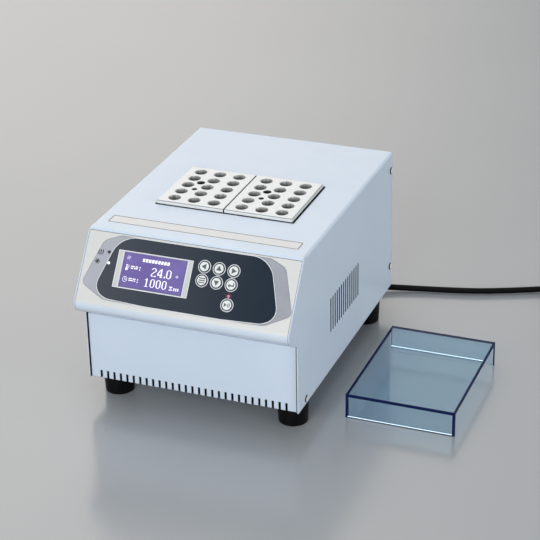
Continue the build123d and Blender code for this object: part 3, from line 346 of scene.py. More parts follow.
def key_cap(name, kx, kt):
    """Pale cap with a dark line round its rim, painted shade of the gap between cap and ring."""
    k = Mat("cap_" + name, rgb(232, 234, 233), 0.28)
    arm = k.node("ShaderNodeVectorMath", operation="SUBTRACT")
    k.link(k.co, arm.inputs[0])
    arm.inputs[1].default_value = on_face(kx, kt, 0.8)
    cross = k.node("ShaderNodeVectorMath", operation="CROSS_PRODUCT")
    k.link(arm.outputs["Vector"], cross.inputs[0])
    cross.inputs[1].default_value = FACE_N
    away = k.node("ShaderNodeVectorMath", operation="LENGTH")
    k.link(cross.outputs["Vector"], away.inputs[0])
    rim = k.within(away.outputs["Value"], 0.00485)
    pale = k.mix(k.span(k.noise(160, 4, 0.6), 0.0, 1.0), rgb(230, 232, 230), rgb(238, 240, 238))
    dark = k.mix(k.span(k.noise(500, 3, 0.6), 0.0, 1.0), rgb(10, 13, 18), rgb(18, 22, 28))
    # painted shade: the dark rim stands in for the shade in the gap round the cap
    k.base(k.mix(rim, pale, dark))
    k.roughness(k.span(k.noise(300, 4, 0.6), 0.24, 0.34))
    k.bump(k.noise(1300, 3, 0.6), 0.00001, 0.4)
    return k.m


KEYS = {"left": (15.2, -21.1), "up": (31.1, -21.1), "right": (47.0, -21.1), "menu": (15.2, -35.4), "down": (31.1, -35.4), "enter": (47.0, -35.4), "start": (46.8, -56.1)}
for name, (kx, kt) in KEYS.items():
    M["cap_" + name] = key_cap(name, kx, kt)


def key_ring_print_and_gap_shade():
    """White ring printed round each key, with a dark line along its inner edge that is painted shade of the gap round
    the key.
    """
    k = Mat("key_ring_ink_and_gap_shade", rgb(226, 227, 228), 0.35)
    slope = k.node("ShaderNodeVectorMath", operation="DOT_PRODUCT")
    k.link(k.co, slope.inputs[0])
    slope.inputs[1].default_value = (0, C54, S54)
    x = k.axes()[0]
    near = None
    for kx, kt in KEYS.values():
        spot = on_face(kx, kt)
        dx = k.math("SUBTRACT", x, spot.x)
        dt = k.math("SUBTRACT", slope.outputs["Value"], spot.dot(Vector((0, C54, S54))))
        away = k.math("SQRT", k.math("ADD", k.math("MULTIPLY", dx, dx), k.math("MULTIPLY", dt, dt)))
        near = away if near is None else k.math("MINIMUM", near, away)
    pale = k.mix(k.span(k.noise(500, 3, 0.6), 0.0, 1.0), rgb(216, 217, 219), rgb(230, 231, 233))
    # painted shade: the dark line along the ring's inner edge
    k.base(k.mix(k.within(near, None, 0.00610), pale, rgb(16, 19, 24)))
    k.bump(k.noise(1500, 2, 0.5), 0.00002, 0.4)
    return k.m


M["key_ring"] = key_ring_print_and_gap_shade()
M["white_ink"] = ink("white_ink", rgb(230, 230, 232), 0.4)
M["dark_ink"] = ink("dark_ink", rgb(30, 30, 34), 0.45, rgb(42, 42, 46))
M["key_ink"] = ink("key_ink", rgb(84, 86, 86), 0.45, rgb(96, 98, 98))
M["red_ink"] = ink("red_ink", rgb(58, 10, 32), 0.45, rgb(72, 16, 40))
M["black"] = moulded("black_plastic", rgb(22, 22, 24), rgb(30, 30, 33), 0.45, 1000, 0.00006)
M["rubber"] = rubber("foot_rubber", rgb(6, 6, 7), rgb(12, 12, 13), 0.42)
M["cord"] = rubber("cord_rubber", rgb(4, 4, 5), rgb(8, 8, 9), 0.5, 0.00003)
M["zinc"] = metal("zinc_steel", rgb(165, 168, 170), rgb(190, 192, 195), 0.34, (300, 300, 300))
M["bare_alu"] = metal("bare_aluminium", rgb(176, 178, 180), rgb(205, 207, 209), 0.36, (30, 700, 700))
M["brass"] = metal("plated_brass", rgb(190, 176, 130), rgb(214, 200, 156), 0.28, (300, 300, 300))
M["foam"] = rubber("insulation_foam", rgb(16, 16, 17), rgb(26, 26, 28), 0.9, 0.0004)
M["ceramic"] = moulded("module_ceramic", rgb(222, 222, 214), rgb(232, 232, 226), 0.6, 900, 0.00004)
M["ribbon"] = moulded("ribbon_grey", rgb(150, 150, 154), rgb(176, 176, 180), 0.5, 900, 0.00004)


def block_metal():
    """Bead-blasted, clear anodised aluminium: pale faces and greyer arrises. The turned wells carry painted reflection
    as pale streaks near the top and painted shade darkening them towards the bottom, the drilled holes are painted dark
    with shade, and a painted shadow line runs between the two blocks."""
    k = Mat("block_aluminium", rgb(222, 223, 224), 0.42, 0.1)
    x, y, z = k.axes()
    n = k.facing()
    wells, holes = [], []
    for cx in (-37.5, 39.1):
        wells.append(k.all_of(k.within(x, mm(x=cx - 36.2), mm(x=cx + 36.2)), k.within(y, mm(y=-211.2), mm(y=-120.4)), k.within(z, None, 0.1982)))
        holes.append(k.all_of(k.within(x, mm(x=cx - 15.8), mm(x=cx - 6.7)), k.within(y, mm(y=-161.4), mm(y=-152.3)), k.within(z, None, 0.1982)))
        holes.append(k.all_of(k.within(x, mm(x=cx - 14.4), mm(x=cx - 8.1)), k.within(y, mm(y=-177.9), mm(y=-171.6)), k.within(z, None, 0.1982)))
    sides = k.within(z, None, 0.1941)
    seam_shade = k.all_of(k.within(x, mm(x=0.02), mm(x=1.58)), k.within(z, None, 0.1979))
    well, hole = k.any_of(*wells), k.any_of(*holes)
    arris = k.all_of(k.within(n[2], 0.4, 0.95), k.math("SUBTRACT", 1.0, well))
    top = k.mix(k.span(k.noise(130, 5, 0.6), 0.0, 1.0), rgb(240, 240, 238), rgb(246, 246, 244))
    top = k.mix(arris, top, rgb(150, 152, 154))
    cut = k.mix(k.span(k.noise(1.0, 3, 0.6, (300, 300, 2600)), 0.0, 1.0), rgb(144, 145, 146), rgb(162, 163, 164))
    streak = k.span(k.noise(1.0, 3, 0.6, (420, 420, 60)), 0.0, 1.0)
    # painted reflection: pale streaks on the upper walls of the wells
    painted_well_reflection = k.mix(streak, rgb(158, 157, 154), rgb(242, 240, 236))
    depth = k.span(z, 1.0, 0.0, 0.1908, 0.1974)
    # painted shade: the wells darken to near-black towards the bottom
    painted_well_shade = k.mix(depth, painted_well_reflection, rgb(17, 17, 16))
    out = k.mix(sides, top, cut)
    out = k.mix(well, out, painted_well_shade)
    # painted shade: the drilled holes darken to black towards the bottom
    out = k.mix(hole, out, k.mix(k.span(z, 1.0, 0.0, 0.1945, 0.1978), rgb(96, 95, 93), rgb(10, 10, 10)))
    # painted shadow: a dark line on the faces between the two blocks
    k.base(k.mix(seam_shade, out, rgb(52, 53, 55)))
    k.link(k.math("MULTIPLY", k.any_of(well, sides), 0.25), k.bsdf.inputs["Metallic"])
    k.roughness(k.math("SUBTRACT", k.span(k.noise(300, 4, 0.6), 0.42, 0.54), k.math("MULTIPLY", well, 0.12)))
    fine = k.bump(k.noise(1900, 3, 0.6), 0.00003, 0.5, bevel=0.0004)
    wave = k.node("ShaderNodeTexWave", wave_type="BANDS", bands_direction="Z")
    wave.inputs["Scale"].default_value = 260
    wave.inputs["Distortion"].default_value = 0.6
    k.link(k.co, wave.inputs["Vector"])
    k.bump(wave.outputs["Fac"], 0.00002, 0.35, prev=fine)
    return k.m


def screw_head(spots):
    """Domed heads painted near-white as a painted highlight of polished steel, with a dark ring round the rim that is
    painted shade and painted dark reflection. spots are the (y, z) places of the heads on either side.
    """
    k = Mat("screw_steel", rgb(214, 214, 216), 0.3, 0.12)
    x, y, z = k.axes()
    near = None
    for sy, sz in spots:
        dy, dz = k.math("SUBTRACT", y, mm(y=sy)), k.math("SUBTRACT", z, mm(z=sz))
        away = k.math("SQRT", k.math("ADD", k.math("MULTIPLY", dy, dy), k.math("MULTIPLY", dz, dz)))
        near = away if near is None else k.math("MINIMUM", near, away)
    rim = k.math("MULTIPLY", k.within(near, 0.0036), k.within(near, None, 0.0047))
    lines = k.noise(1.0, 4, 0.6, (400, 400, 400))
    # painted highlight on the near-white face, painted shade and painted dark reflection in the ring round the rim
    k.base(k.mix(rim, k.mix(k.span(lines, 0.0, 1.0), rgb(248, 248, 247), rgb(254, 254, 253)), rgb(26, 28, 30)))
    k.roughness(k.span(k.noise(1.0, 3, 0.6, (400, 400, 400)), 0.16, 0.30))
    k.bump(lines, 0.00002, 0.4, bevel=0.0003)
    return k.m


def overlay_film():
    """Dark printed polyester film: a slow drift from slate to blue-black, fine matt texture."""
    k = Mat("overlay_dark", rgb(52, 57, 66), 0.36, spec=0.12)
    sep = k.node("ShaderNodeSeparateXYZ")
    k.link(k.co, sep.inputs[0])
    lo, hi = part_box("control_overlay")
    drift = k.span(sep.outputs["X"], 0.0, 1.0, lo[0], hi[0])
    tone = k.mix(drift, rgb(74, 77, 85), rgb(9, 32, 46))
    k.base(k.mix(k.span(k.noise(18, 2, 0.5), 0.0, 0.12), tone, rgb(70, 78, 90)))
    k.roughness(k.span(k.noise(40, 3, 0.5), 0.34, 0.40))
    k.bump(k.noise(2400, 2, 0.6), 0.000004, 0.5)
    return k.m


def display_glass():
    """Backlit dot-matrix glass: a violet field with a faint grid of cells."""
    k = Mat("display_glass", rgb(104, 88, 168), 0.18)
    grid = k.node("ShaderNodeTexBrick")
    grid.offset = 0.0
    grid.inputs["Scale"].default_value = 1.0
    grid.inputs["Brick Width"].default_value = 0.000545
    grid.inputs["Row Height"].default_value = 0.000545
    grid.inputs["Mortar Size"].default_value = 0.00004
    grid.inputs["Color1"].default_value = rgb(100, 82, 146)
    grid.inputs["Color2"].default_value = rgb(108, 92, 154)
    grid.inputs["Mortar"].default_value = rgb(78, 64, 126)
    mp = k.node("ShaderNodeMapping")
    mp.inputs["Rotation"].default_value = (math.radians(-54.5), 0, 0)
    k.link(k.co, mp.inputs["Vector"])
    k.link(mp.outputs["Vector"], grid.inputs["Vector"])
    cloud = k.mix(k.span(k.noise(40, 3, 0.5), 0.0, 0.45), grid.outputs["Color"], rgb(122, 110, 164))
    lo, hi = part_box("lcd_display")
    x, y, z = k.axes()
    border = k.any_of(k.span(x, 1.0, 0.0, lo[0], lo[0] + 0.0016), k.span(x, 0.0, 1.0, hi[0] - 0.0012, hi[0]),
                      k.span(z, 1.0, 0.0, lo[2] + 0.001, lo[2] + 0.0026))
    cloud = k.mix(k.math("MULTIPLY", border, 0.75), cloud, rgb(84, 82, 118))
    k.base(cloud)
    k.link(cloud, k.bsdf.inputs["Emission Color"])
    k.bsdf.inputs["Emission Strength"].default_value = 0.30
    k.bsdf.inputs["Coat Weight"].default_value = 0.4
    return k.m


def glowing(name, tone, strength, rough=0.3):
    k = Mat(name, tone, rough)
    lit = k.mix(k.span(k.noise(900, 2, 0.5), 0.0, 0.3), tone, (1, 1, 1, 1))
    k.base(lit)
    k.link(lit, k.bsdf.inputs["Emission Color"])
    k.bsdf.inputs["Emission Strength"].default_value = strength
    return k.m


def lens(name, tone, tone2, rough=0.15):
    """Coloured epoxy lamp lens, darker round its rim."""
    k = Mat(name, tone, rough)
    lw = k.node("ShaderNodeLayerWeight")
    lw.inputs["Blend"].default_value = 0.4
    k.base(k.mix(lw.outputs["Facing"], tone, tone2))
    k.bump(k.noise(900, 2, 0.5), 0.00002, 0.3)
    k.bsdf.inputs["Coat Weight"].default_value = 0.6
    return k.m


def acrylic_sheet(name, node, thin, bands, rear_band=None, one_end=False):
    """Blue-tinted cast sheet: clear through its faces, deep navy along its saw-cut edges.
    thin is the sheet's thin direction. bands gives, for each end as (axis, side), how far in the
    navy of the cut shows through the polished face. rear_band keeps the rear cut's navy to the top of it.
    one_end leaves only the right-hand end navy."""
    k = Mat(name, rgb(120, 160, 215), 0.06, spec=0.12)
    x, y, z = k.axes()
    n = k.facing()
    lo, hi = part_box(node)
    clear = k.node("ShaderNodeBsdfTransparent")
    tint = k.mix(k.span(k.noise(14, 2, 0.5), 0.0, 0.4), (0.812, 0.900, 0.950, 1), (0.802, 0.893, 0.946, 1))
    # painted reflection: the left 50 mm of the sheet lets through bluer light, standing in for the reflection of the
    # instrument's blue side
    k.link(k.mix(k.span(x, 0.55, 0.0, lo[0], lo[0] + 0.05), tint, (0.795, 0.905, 0.990, 1)), clear.inputs["Color"])
    gloss = k.node("ShaderNodeBsdfGlossy")
    gloss.inputs["Roughness"].default_value = 0.03
    gloss.inputs["Color"].default_value = (0.92, 0.96, 1.0, 1)
    lw = k.node("ShaderNodeLayerWeight")
    lw.inputs["Blend"].default_value = 0.5
    sheen = k.math("ADD", k.math("MULTIPLY", k.math("POWER", lw.outputs["Facing"], 5.0), 0.40), 0.016)
    face = k.node("ShaderNodeMixShader")
    k.link(sheen, face.inputs[0])
    k.link(clear.outputs[0], face.inputs[1])
    k.link(gloss.outputs[0], face.inputs[2])
    cut = k.within(k.math("ABSOLUTE", n[thin]), None, 0.9)
    if rear_band:
        cut = k.math("SUBTRACT", cut, k.math("MULTIPLY", k.within(n[1], 0.5), k.within(z, None, hi[2] - rear_band)))
    if one_end:
        cut = k.within(n[0], 0.5)
    masks = [cut]
    for axis, end, depth in bands:
        value = (x, y, z)[axis]
        masks.append(k.within(value, None, lo[axis] + depth) if end < 0 else k.within(value, hi[axis] - depth))
    k.base(k.mix(k.span(k.noise(400, 3, 0.6), 0.0, 1.0), rgb(5, 20, 60), rgb(10, 30, 80)))
    k.roughness(k.span(k.noise(1500, 3, 0.6), 0.34, 0.5))
    both = k.node("ShaderNodeMixShader")
    k.link(k.any_of(*masks), both.inputs[0])
    k.link(face.outputs[0], both.inputs[1])
    k.link(k.bsdf.outputs[0], both.inputs[2])
    # light that has come through the sheet stays pale on the bench, bluer under its edges
    through = k.node("ShaderNodeBsdfTransparent")
    k.link(k.mix(k.any_of(*masks), (0.87, 0.93, 0.97, 1), (0.42, 0.60, 0.96, 1)), through.inputs["Color"])
    last = k.node("ShaderNodeMixShader")
    k.link(k.node("ShaderNodeLightPath").outputs["Is Shadow Ray"], last.inputs[0])
    k.link(both.outputs[0], last.inputs[1])
    k.link(through.outputs[0], last.inputs[2])
    k.link(last.outputs[0], k.nt.nodes["Material Output"].inputs["Surface"])
    return k.m


def board():
    """Green solder-resist board with pale tracks."""
    k = Mat("circuit_board", rgb(22, 84, 50), 0.35)
    v = k.node("ShaderNodeTexVoronoi", feature="DISTANCE_TO_EDGE")
    v.inputs["Scale"].default_value = 260
    k.link(k.co, v.inputs["Vector"])
    track = k.span(v.outputs["Distance"], 1.0, 0.0, 0.0, 0.06)
    k.base(k.mix(track, rgb(20, 78, 46), rgb(60, 132, 78)))
    k.bump(track, 0.00004, 0.4)
    return k.m


def label_film():
    """Clear-coated label stock, left plain."""
    k = Mat("label_film", rgb(240, 240, 240), 0.4)
    k.base(k.mix(k.span(k.noise(90, 4, 0.6), 0.0, 1.0), rgb(222, 221, 221), rgb(228, 227, 227)))
    k.bump(k.noise(1200, 3, 0.5), 0.00002, 0.4)
    return k.m


def fuse_glass():
    k = Mat("fuse_glass", rgb(214, 220, 220), 0.08)
    k.base(k.mix(k.span(k.noise(200, 3, 0.5), 0.0, 1.0), rgb(206, 212, 212), rgb(228, 232, 232)))
    k.bsdf.inputs["Transmission Weight"].default_value = 0.6
    return k.m


M["block"] = block_metal()
M["side_screw"] = screw_head([(-6.0, 174.0), (-6.0, 54.7), (-287.0, 33.6)])
M["overlay"] = overlay_film()
M["display"] = display_glass()
M["digit"] = glowing("digit_white", rgb(232, 230, 248), 0.5)
M["digit_dim"] = glowing("digit_dim", rgb(176, 164, 216), 0.3)
M["lamp_red"] = lens("lamp_red", rgb(34, 4, 16), rgb(16, 2, 8))
M["lamp_run"] = glowing("lamp_run_lit", rgb(190, 96, 130), 0.3)
M["lamp_green"] = glowing("lamp_lit", rgb(232, 248, 228), 0.75)
M["acrylic_top"] = acrylic_sheet("blue_acrylic_top", "lid_top", 2, [(0, -1, 0.0016), (0, 1, 0.0018), (1, -1, 0.0012)], 0.0006)
M["acrylic_front"] = acrylic_sheet("blue_acrylic_front", "lid_front_wall", 1, [(0, -1, 0.0024), (0, 1, 0.0026)])
M["acrylic_rear"] = acrylic_sheet("blue_acrylic_rear", "lid_rear_wall", 1, [(0, 1, 0.0010)], one_end=True)
M["board"] = board()
M["label"] = label_film()
M["fuse"] = fuse_glass()


def plug_material():
    """Black plug with plated pins: everything past the moulded face is metal."""
    k = Mat("plug_rubber", rgb(18, 18, 19), 0.42)
    k.base(k.mix(k.span(k.noise(60, 5, 0.65), 0.0, 1.0), rgb(16, 16, 17), rgb(28, 28, 30)))
    k.bump(k.noise(1100, 3, 0.65), 0.00004, 0.5, bevel=0.0006)
    steel = k.node("ShaderNodeBsdfPrincipled")
    steel.inputs["Metallic"].default_value = 1.0
    steel.inputs["Roughness"].default_value = 0.25
    k.link(k.mix(k.span(k.noise(300, 3, 0.5), 0.0, 1.0), rgb(200, 196, 182), rgb(222, 218, 204)), steel.inputs["Base Color"])
    dot = k.node("ShaderNodeVectorMath", operation="DOT_PRODUCT")
    k.link(k.co, dot.inputs[0])
    dot.inputs[1].default_value = PLUG_DIR
    pin = k.math("GREATER_THAN", dot.outputs["Value"], (PLUG_AT + PLUG_DIR * 0.0501).dot(PLUG_DIR))
    both = k.node("ShaderNodeMixShader")
    k.link(pin, both.inputs[0])
    k.link(k.bsdf.outputs[0], both.inputs[1])
    k.link(steel.outputs[0], both.inputs[2])
    k.link(both.outputs[0], k.nt.nodes["Material Output"].inputs["Surface"])
    return k.m


# ------------------------------------------------------------------ mesh helpers
def add_object(name, data, body, mat):
    o = bpy.data.objects.new(name, data)
    bpy.context.scene.collection.objects.link(o)
    if mat is not None:
        o.data.materials.append(mat)
    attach(o, body)
    return o


def decal(name, polys, place, body, mat, lift=0.05):
    """Flat polygons, given in a surface's own coordinates, as a thin raised film. place(x, t, o) gives the point."""
    bm = bmesh.new()
    for poly, o in polys:
        area = sum(a[0] * b[1] - b[0] * a[1] for a, b in zip(poly, poly[1:] + poly[:1]))
        if area < 0:
            poly = list(reversed(poly))
        low = [bm.verts.new(place(x, t, o)) for x, t in poly]
        top = [bm.verts.new(place(x, t, o + lift)) for x, t in poly]
        bm.faces.new(top)
        bm.faces.new(list(reversed(low)))
        n = len(poly)
        for i in range(n):
            j = (i + 1) % n
            bm.faces.new((low[i], low[j], top[j], top[i]))
    me = bpy.data.meshes.new(name)
    bm.to_mesh(me)
    bm.free()
    return add_object(name, me, body, mat)


def ring_strip(name, outer, inner, place, o, body, mat, lift=0.05):
    """A closed band between two outlines with the same number of points."""
    bm = bmesh.new()
    n = len(outer)
    rows = []
    for pts, h in ((outer, o), (outer, o + lift), (inner, o + lift), (inner, o)):
        rows.append([bm.verts.new(place(x, t, h)) for x, t in pts])
    for a, b in ((0, 1), (1, 2), (2, 3), (3, 0)):
        for i in range(n):
            j = (i + 1) % n
            bm.faces.new((rows[a][i], rows[a][j], rows[b][j], rows[b][i]))
    bmesh.ops.recalc_face_normals(bm, faces=bm.faces)
    me = bpy.data.meshes.new(name)
    bm.to_mesh(me)
    bm.free()
    return add_object(name, me, body, mat)


def rounded_rect(w, h, r, cx=0.0, cy=0.0, seg=6):
    pts = []
    for sx, sy, a0 in ((1, -1, -90), (1, 1, 0), (-1, 1, 90), (-1, -1, 180)):
        for i in range(seg + 1):
            a = math.radians(a0 + 90.0 * i / seg)
            pts.append((cx + sx * (w / 2 - r) + r * math.cos(a), cy + sy * (h / 2 - r) + r * math.sin(a)))
    return pts


def disc(cx, cy, r, n=40):
    return [(cx + r * math.cos(2 * math.pi * i / n), cy + r * math.sin(2 * math.pi * i / n)) for i in range(n)]


def face_outline(node, shift=0.0):
    """The outer edge of a CAD node's top face on the control slope, as (x, t) points. shift is not used."""
    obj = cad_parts[node]
    bm = bmesh.new()
    bm.from_mesh(obj.data)
    bm.transform(obj.matrix_world)
    bmesh.ops.remove_doubles(bm, verts=bm.verts, dist=1e-6)
    heights = [v.co.dot(FACE_N) for v in bm.verts]
    top = max(heights)
    faces = {f for f in bm.faces if f.normal.dot(FACE_N) > 0.999 and abs(f.calc_center_median().dot(FACE_N) - top) < 5e-5}
    edges = [e for e in bm.edges if sum(f in faces for f in e.link_faces) == 1]
    follow = {}
    for e in edges:
        for a, b in ((e.verts[0], e.verts[1]), (e.verts[1], e.verts[0])):
            follow.setdefault(a.index, []).append(b.index)
    bm.verts.ensure_lookup_table()
    seen, loops = set(), []
    for start in follow:
        if start in seen:
            continue
        loop, here, prev = [], start, None
        while here not in seen:
            seen.add(here)
            loop.append(here)
            nxt = [n for n in follow[here] if n != prev and n not in seen]
            prev = here
            if not nxt:
                break
            here = nxt[0]
        loops.append(loop)
    base = on_face(0, 0, 0)
    up_slope = Vector((0, C54, S54))
    best = None
    for loop in loops:
        pts = [((bm.verts[i].co - base).x * 1000, (bm.verts[i].co - base).dot(up_slope) * 1000) for i in loop]
        width = max(p[0] for p in pts) - min(p[0] for p in pts)
        if best is None or width > best[0]:
            best = (width, pts)
    bm.free()
    pts = best[1]
    area = sum(a[0] * b[1] - b[0] * a[1] for a, b in zip(pts, pts[1:] + pts[:1]))
    if area < 0:
        pts.reverse()
    return pts


def moved_in(pts, d):
    """An anticlockwise outline moved inwards by d."""
    out = []
    n = len(pts)
    for i in range(n):
        a, b, c = Vector(pts[i - 1]), Vector(pts[i]), Vector(pts[(i + 1) % n])
        u, v = (b - a).normalized(), (c - b).normalized()
        na, nb = Vector((-u.y, u.x)), Vector((-v.y, v.x))
        m = (na + nb)
        if m.length < 1e-6:
            m = na
        m.normalize()
        k = d / max(0.3, m.dot(na))
        out.append((b.x + m.x * k, b.y + m.y * k))
    return out


# ------------------------------------------------------------------ mains cord
route = [
    (54.0, 11.0, 66.0), (54.0, 11.4, 42.0), (62.0, 16.0, 21.0), (79.0, 26.0, 8.6), (103.0, 37.2, 4.6),
    (128.0, 44.0, 3.9), (152.0, 49.6, 3.7), (178.0, 55.6, 3.7), (206.0, 63.0, 3.7), (238.0, 75.5, 3.7),
    (274.0, 91.5, 3.8), (303.0, 105.5, 4.6), (318.0, 112.6, 5.0),
]
coil_x, coil_y, coil_out, coil_in, coil_turns, coil_low = 352.3, 72.9, 50.6, 31.7, 5.368, 4.65
per_turn = 20
steps = round(coil_turns * per_turn)
swell = 2 / (1 + math.cos(2 * math.pi * coil_turns / steps))   # control points stand this far outside the turns
coil = []
for i in range(steps + 1):
    f = i / steps
    turn = f * coil_turns
    r = coil_out - (coil_out - coil_in) * (1 - abs(2 * f - 1))
    climb = (turn - coil_turns / 2) / 0.26 + 0.5
    climb = min(1.0, max(0.0, climb))
    z = coil_low + 7.02 * (climb * climb * (3 - 2 * climb))
    a = math.radians(115.33 - 360 * turn)
    coil.append((coil_x + r * swell * math.cos(a), coil_y + r * swell * math.sin(a), z))
tail = [(396.52, 44.56, 11.6), (390.91, 25.36, 11.0), (386.35, 4.79, 10.6), (383.5, -16.31, 11.6)]
points = route + coil + tail

curve = bpy.data.curves.new("mains_cord", "CURVE")
curve.dimensions = "3D"
curve.bevel_depth = 0.0035
curve.bevel_resolution = 5
curve.resolution_u = 6
curve.use_fill_caps = True
spline = curve.splines.new("NURBS")
spline.points.add(len(points) - 1)
for p, (x, y, z) in zip(spline.points, points):
    p.co = (*at(x, y, z), 1.0)
spline.order_u = 3
spline.use_endpoint_u = True
cord = add_object("mains_cord", curve, "instrument", M["cord"])
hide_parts("power_cord", "cord_coil", "cord_tail")

PLUG_AT = at(*tail[-1])
PLUG_DIR = (Vector(tail[-1]) - Vector(tail[-2]))
PLUG_DIR.z = 0
PLUG_DIR.normalize()
M["plug"] = plug_material()


def ribs(name, start, direction, r0, r1, length, count, body, mat):
    """Raised rings of a flexible strain relief round a cone."""
    bm = bmesh.new()
    q = direction.to_track_quat("Z", "Y").to_matrix().to_4x4()
    place = Matrix.Translation(start) @ q
    for i in range(count):
        d = length * (i + 0.6) / count
        r = r0 + (r1 - r0) * (i + 0.6) / count
        major, minor, seg, tube = r + 0.00015, 0.0007, 40, 10
        grid = []
        for s in range(seg):
            a = 2 * math.pi * s / seg
            grid.append([
                bm.verts.new(place @ Vector((
                    (major + minor * math.cos(2 * math.pi * u / tube)) * math.cos(a),
                    (major + minor * math.cos(2 * math.pi * u / tube)) * math.sin(a),
                    d + 1.3 * minor * math.sin(2 * math.pi * u / tube),
                ))) for u in range(tube)
            ])
        for s in range(seg):
            for u in range(tube):
                bm.faces.new((grid[s][u], grid[(s + 1) % seg][u], grid[(s + 1) % seg][(u + 1) % tube], grid[s][(u + 1) % tube]))
    bmesh.ops.recalc_face_normals(bm, faces=bm.faces)
    me = bpy.data.meshes.new(name)
    bm.to_mesh(me)
    bm.free()
    for p in me.polygons:
        p.use_smooth = True
    return add_object(name, me, body, mat)


connector_ribs = ribs("connector_ribs", at(54.0, 11.0, 92.0), Vector((0, 0, -1)), 0.0062, 0.0044, 0.025, 7, "instrument", M["cord"])
plug_ribs = ribs("plug_ribs", PLUG_AT, PLUG_DIR, 0.0046, 0.0064, 0.023, 6, "instrument", M["cord"])

# ------------------------------------------------------------------ materials of the CAD nodes
wear = {
    "top_cover": "cover", "base_chassis": "pan", "rear_panel": "rear", "front_bezel": "bezel", "grey_inlay": "inlay",
    "control_overlay": "overlay", "lcd_frame": "ivory", "lcd_display": "display", "lcd_module": "board",
    "key_rings": "key_ring", "lamp_heating": "lamp_red", "lamp_cooling": "lamp_green", "lamp_run": "lamp_run",
    "label_strip": "label", "block_left": "block", "block_right": "block", "cover_screws": "side_screw",
    "rubber_feet": "rubber", "foot_screws": "zinc", "foot_nuts": "zinc", "bezel_screws": "zinc",
    "lid_top": "acrylic_top", "lid_front_wall": "acrylic_front", "lid_rear_wall": "acrylic_rear",
    "cord_tie": "black", "mains_plug": "plug", "power_connector": "cord", "thermal_plate": "bare_alu",
    "peltier_modules": "ceramic", "module_gasket": "foam", "heat_sink": "bare_alu", "plate_screws": "zinc",
    "insulation_collar": "foam", "fan_frame": "black", "fan_rotor": "black", "fan_screws": "zinc",
    "sink_posts": "bare_alu", "temperature_probe": "zinc", "safety_thermostat": "black", "control_board": "board",
    "key_switches": "black", "board_standoffs": "brass", "driver_board": "board", "power_supply": "zinc",
    "ribbon_cable": "ribbon", "ac_inlet": "black", "fuse_drawer": "black", "fuses": "fuse",
    "power_switch_housing": "black", "power_rocker": "black",
}
for name in ("left", "up", "right", "menu", "down", "enter", "start"):
    wear["key_" + name] = "cap_" + name
for name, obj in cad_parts.items():
    if name in wear:
        for s in obj.material_slots:
            s.material = M[wear[name]]

# ------------------------------------------------------------------ control face details
edge = face_outline("control_overlay")
ring_strip("overlay_edge_line", moved_in(edge, -0.15), moved_in(edge, 0.55), on_face, 0.0, "instrument", M["white_ink"], 0.05)

CAP = 0.8


def turned(pts, deg):
    c, s = math.cos(math.radians(deg)), math.sin(math.radians(deg))
    return [(c * x - s * y, s * x + c * y) for x, y in pts]


arrow = [(0, 2.5), (-2.3, -1.5), (2.3, -1.5)]
symbols = {
    "up": [arrow], "down": [turned(arrow, 180)], "left": [turned(arrow, 90)], "right": [turned(arrow, -90)],
    "menu": [[(-2.6, y - 0.4), (2.6, y - 0.4), (2.6, y + 0.4), (-2.6, y + 0.4)] for y in (-1.7, 0, 1.7)],
    "enter": [[(-2.6, -0.7), (-0.9, -2.3), (-0.9, -1.2), (1.7, -1.2), (1.7, 1.6), (2.6, 1.6), (2.6, -0.2), (-0.9, -0.2), (-0.9, 0.9)]],
    "start": [[(-2.7, -1.9), (0.1, 0.0), (-2.7, 1.9)], [(0.7, -1.8), (1.4, -1.8), (1.4, 1.8), (0.7, 1.8)], [(2.0, -1.8), (2.7, -1.8), (2.7, 1.8), (2.0, 1.8)]],
}
symbols["enter"] = [[(-2.6, -0.7), (-0.9, -2.3), (-0.9, -1.2), (2.6, -1.2), (2.6, 1.6), (1.7, 1.6), (1.7, -0.2), (-0.9, -0.2), (-0.9, 0.9)]]
for name, (kx, kt) in KEYS.items():
    grow = 1.28 if name != "start" else 1.12
    polys = [([(kx + x * grow, kt + y * grow) for x, y in poly], CAP) for poly in symbols[name]]
    decal("symbol_" + name, polys, on_face, name + "_key", M["key_ink"], 0.04)


def lamp_surround(cx, cy, r, hx, hy, hr, n=64):
    """A circle round a lamp, held clear of the key ring of radius hr at hx, hy."""
    pts = []
    for i in range(n):
        c, s = math.cos(2 * math.pi * i / n), math.sin(2 * math.pi * i / n)
        far = r
        b = c * (cx - hx) + s * (cy - hy)
        disc_part = b * b - ((cx - hx) ** 2 + (cy - hy) ** 2 - hr * hr)
        if disc_part > 0 and b < 0:
            far = min(r, -b - math.sqrt(disc_part))
        pts.append((cx + c * far, cy + s * far))
    return pts


ring_strip("lamp_run_ring", lamp_surround(46.4, -46.9, 3.5, 46.8, -56.1, 6.98), disc(46.4, -46.9, 1.75, 64), on_face, 0.0, "instrument", M["red_ink"], 0.04)

# Pale lines round the display's surround and its window
for name, w, h, w2, h2, mat in (("frame_line", 82.8, 39.0, 81.6, 37.95, "pale_line"), ("window_line", 72.3, 37.9, 70.7, 37.25, "lavender_line")):
    ring_strip(name, rounded_rect(w, h, 0.3, -39.0, -36.4, 3), rounded_rect(w2, h2, 0.2, -39.0, -36.4, 3), on_face, -0.3, "instrument", M[mat], 0.03)

